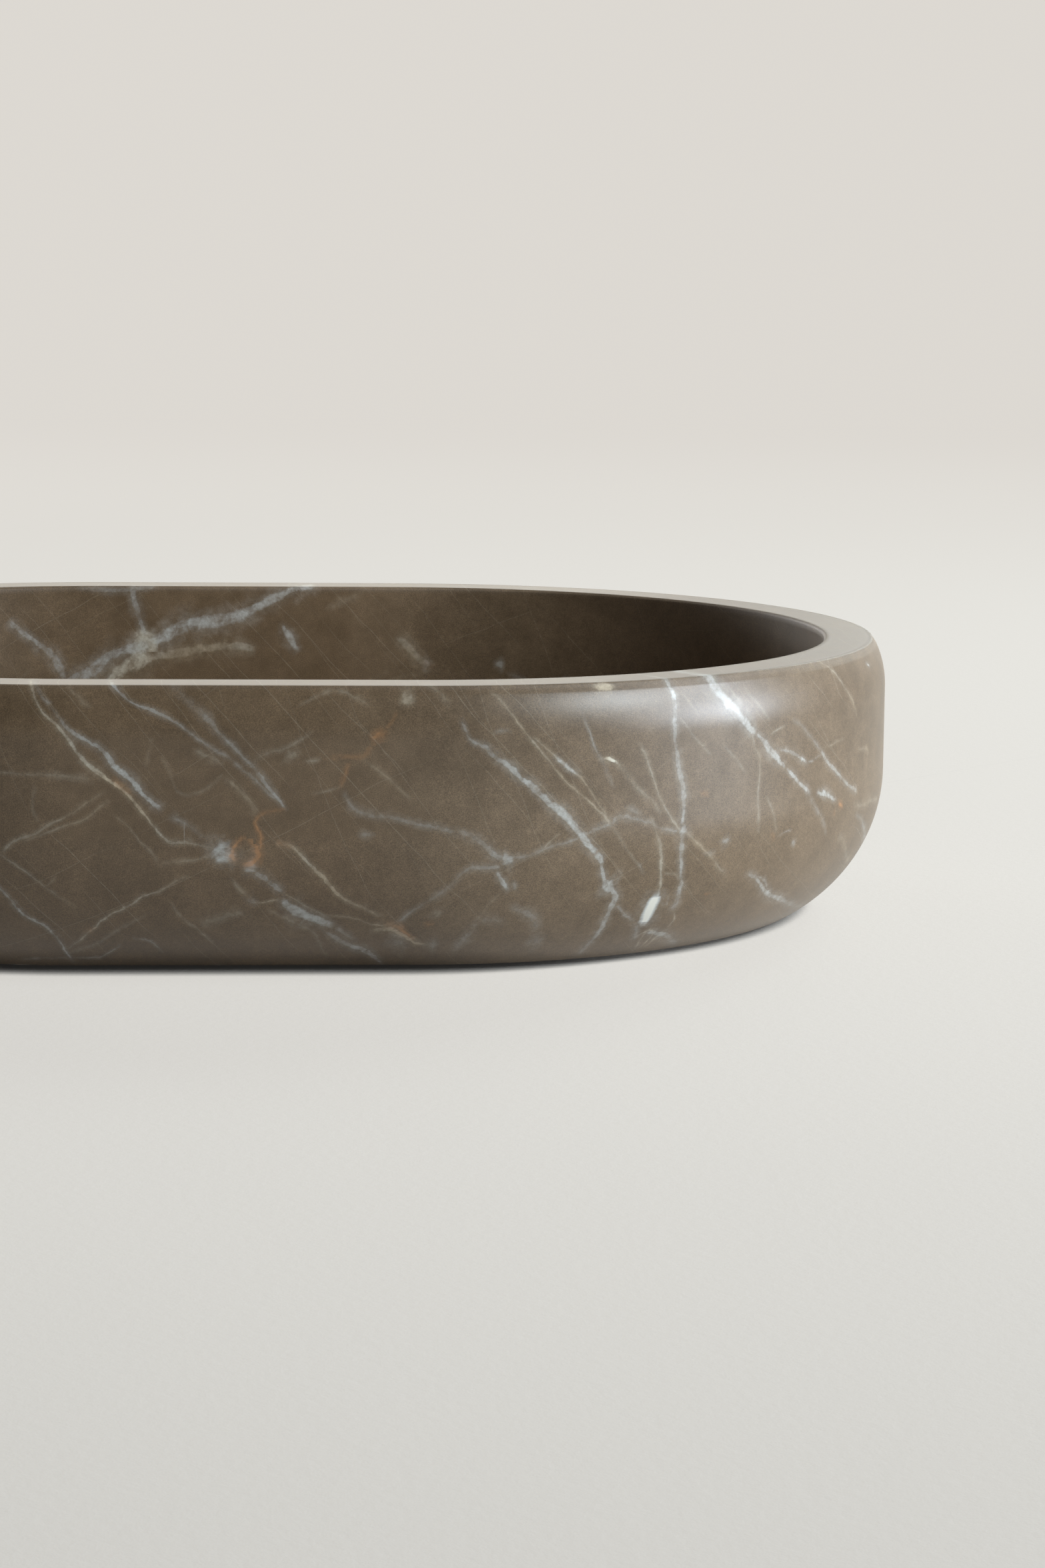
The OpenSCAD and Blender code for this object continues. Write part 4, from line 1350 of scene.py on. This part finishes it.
# Hangs a lamp at a distance from the point that it shines on.
def placeLamp(name, data, distance, turn, lift, aim=(0, 0, 0)):
    lamp = bpy.data.objects.new(name, data)
    a, e = math.radians(turn), math.radians(lift)
    away = Vector((math.sin(a) * math.cos(e), -math.cos(a) * math.cos(e), math.sin(e)))
    lamp.location = Vector(aim) * mm + away * distance
    lamp.rotation_mode = "QUATERNION"
    lamp.rotation_quaternion = away.to_track_quat("Z", "Y")
    lamp.visible_camera = False
    scene.collection.objects.link(lamp)


# The light that a flat lamp gives straight ahead at a distance is power / (pi distance squared).
def softLamp(name, light, width, height, distance, turn, lift, colour):
    data = bpy.data.lights.new(name, "AREA")
    data.energy = light * math.pi * distance**2
    data.shape, data.size, data.size_y = "RECTANGLE", width, height
    data.color = colour
    placeLamp(name, data, distance, turn, lift)


# A spot gives power / (4 pi squared distance squared).
def spotLamp(name, light, radius, distance, turn, lift, colour, aim, cone):
    data = bpy.data.lights.new(name, "SPOT")
    data.energy = light * 4 * math.pi**2 * distance**2
    data.spot_size, data.spot_blend = math.radians(cone), 1.0
    data.shadow_soft_size = radius
    data.color = colour
    placeLamp(name, data, distance, turn, lift, aim)


for lampName, lampValues in lamps.items():
    softLamp(lampName, *lampValues)
spotLamp("hollowSpot", **hollowSpot)
print("studio")

# The camera stands where the outlines of the photograph put it: place in millimetres from the
# origin, angles in radians, and the lens for the long side of the frame.
cameraFit = {
    "place": (3.94, -370.3, 66.0),
    "pitch": 0.1483,
    "yaw": 0.059,
    "roll": 0.0097,
    "lens": 90.0,
    "longSide": 36.0,
    "clip": (0.01, 20),
}


def photoCamera():
    pitch, yaw, roll = cameraFit["pitch"], cameraFit["yaw"], cameraFit["roll"]
    flat = math.cos(pitch)
    ahead = Vector((math.sin(yaw) * flat, math.cos(yaw) * flat, -math.sin(pitch)))
    level = Vector((math.cos(yaw), -math.sin(yaw), 0))
    upright = level.cross(ahead)
    right = level * math.cos(roll) + upright * math.sin(roll)
    up = upright * math.cos(roll) - level * math.sin(roll)
    data = bpy.data.cameras.new("photoCamera")
    data.lens = cameraFit["lens"]
    data.sensor_width = cameraFit["longSide"]
    data.clip_start, data.clip_end = cameraFit["clip"]
    camera = bpy.data.objects.new("photoCamera", data)
    turned = Matrix((right, up, -ahead)).transposed().to_4x4()
    camera.matrix_world = Matrix.Translation(Vector(cameraFit["place"]) * mm) @ turned
    scene.collection.objects.link(camera)
    scene.camera = camera


photoCamera()
scene.view_settings.view_transform = "Standard"

print("done")
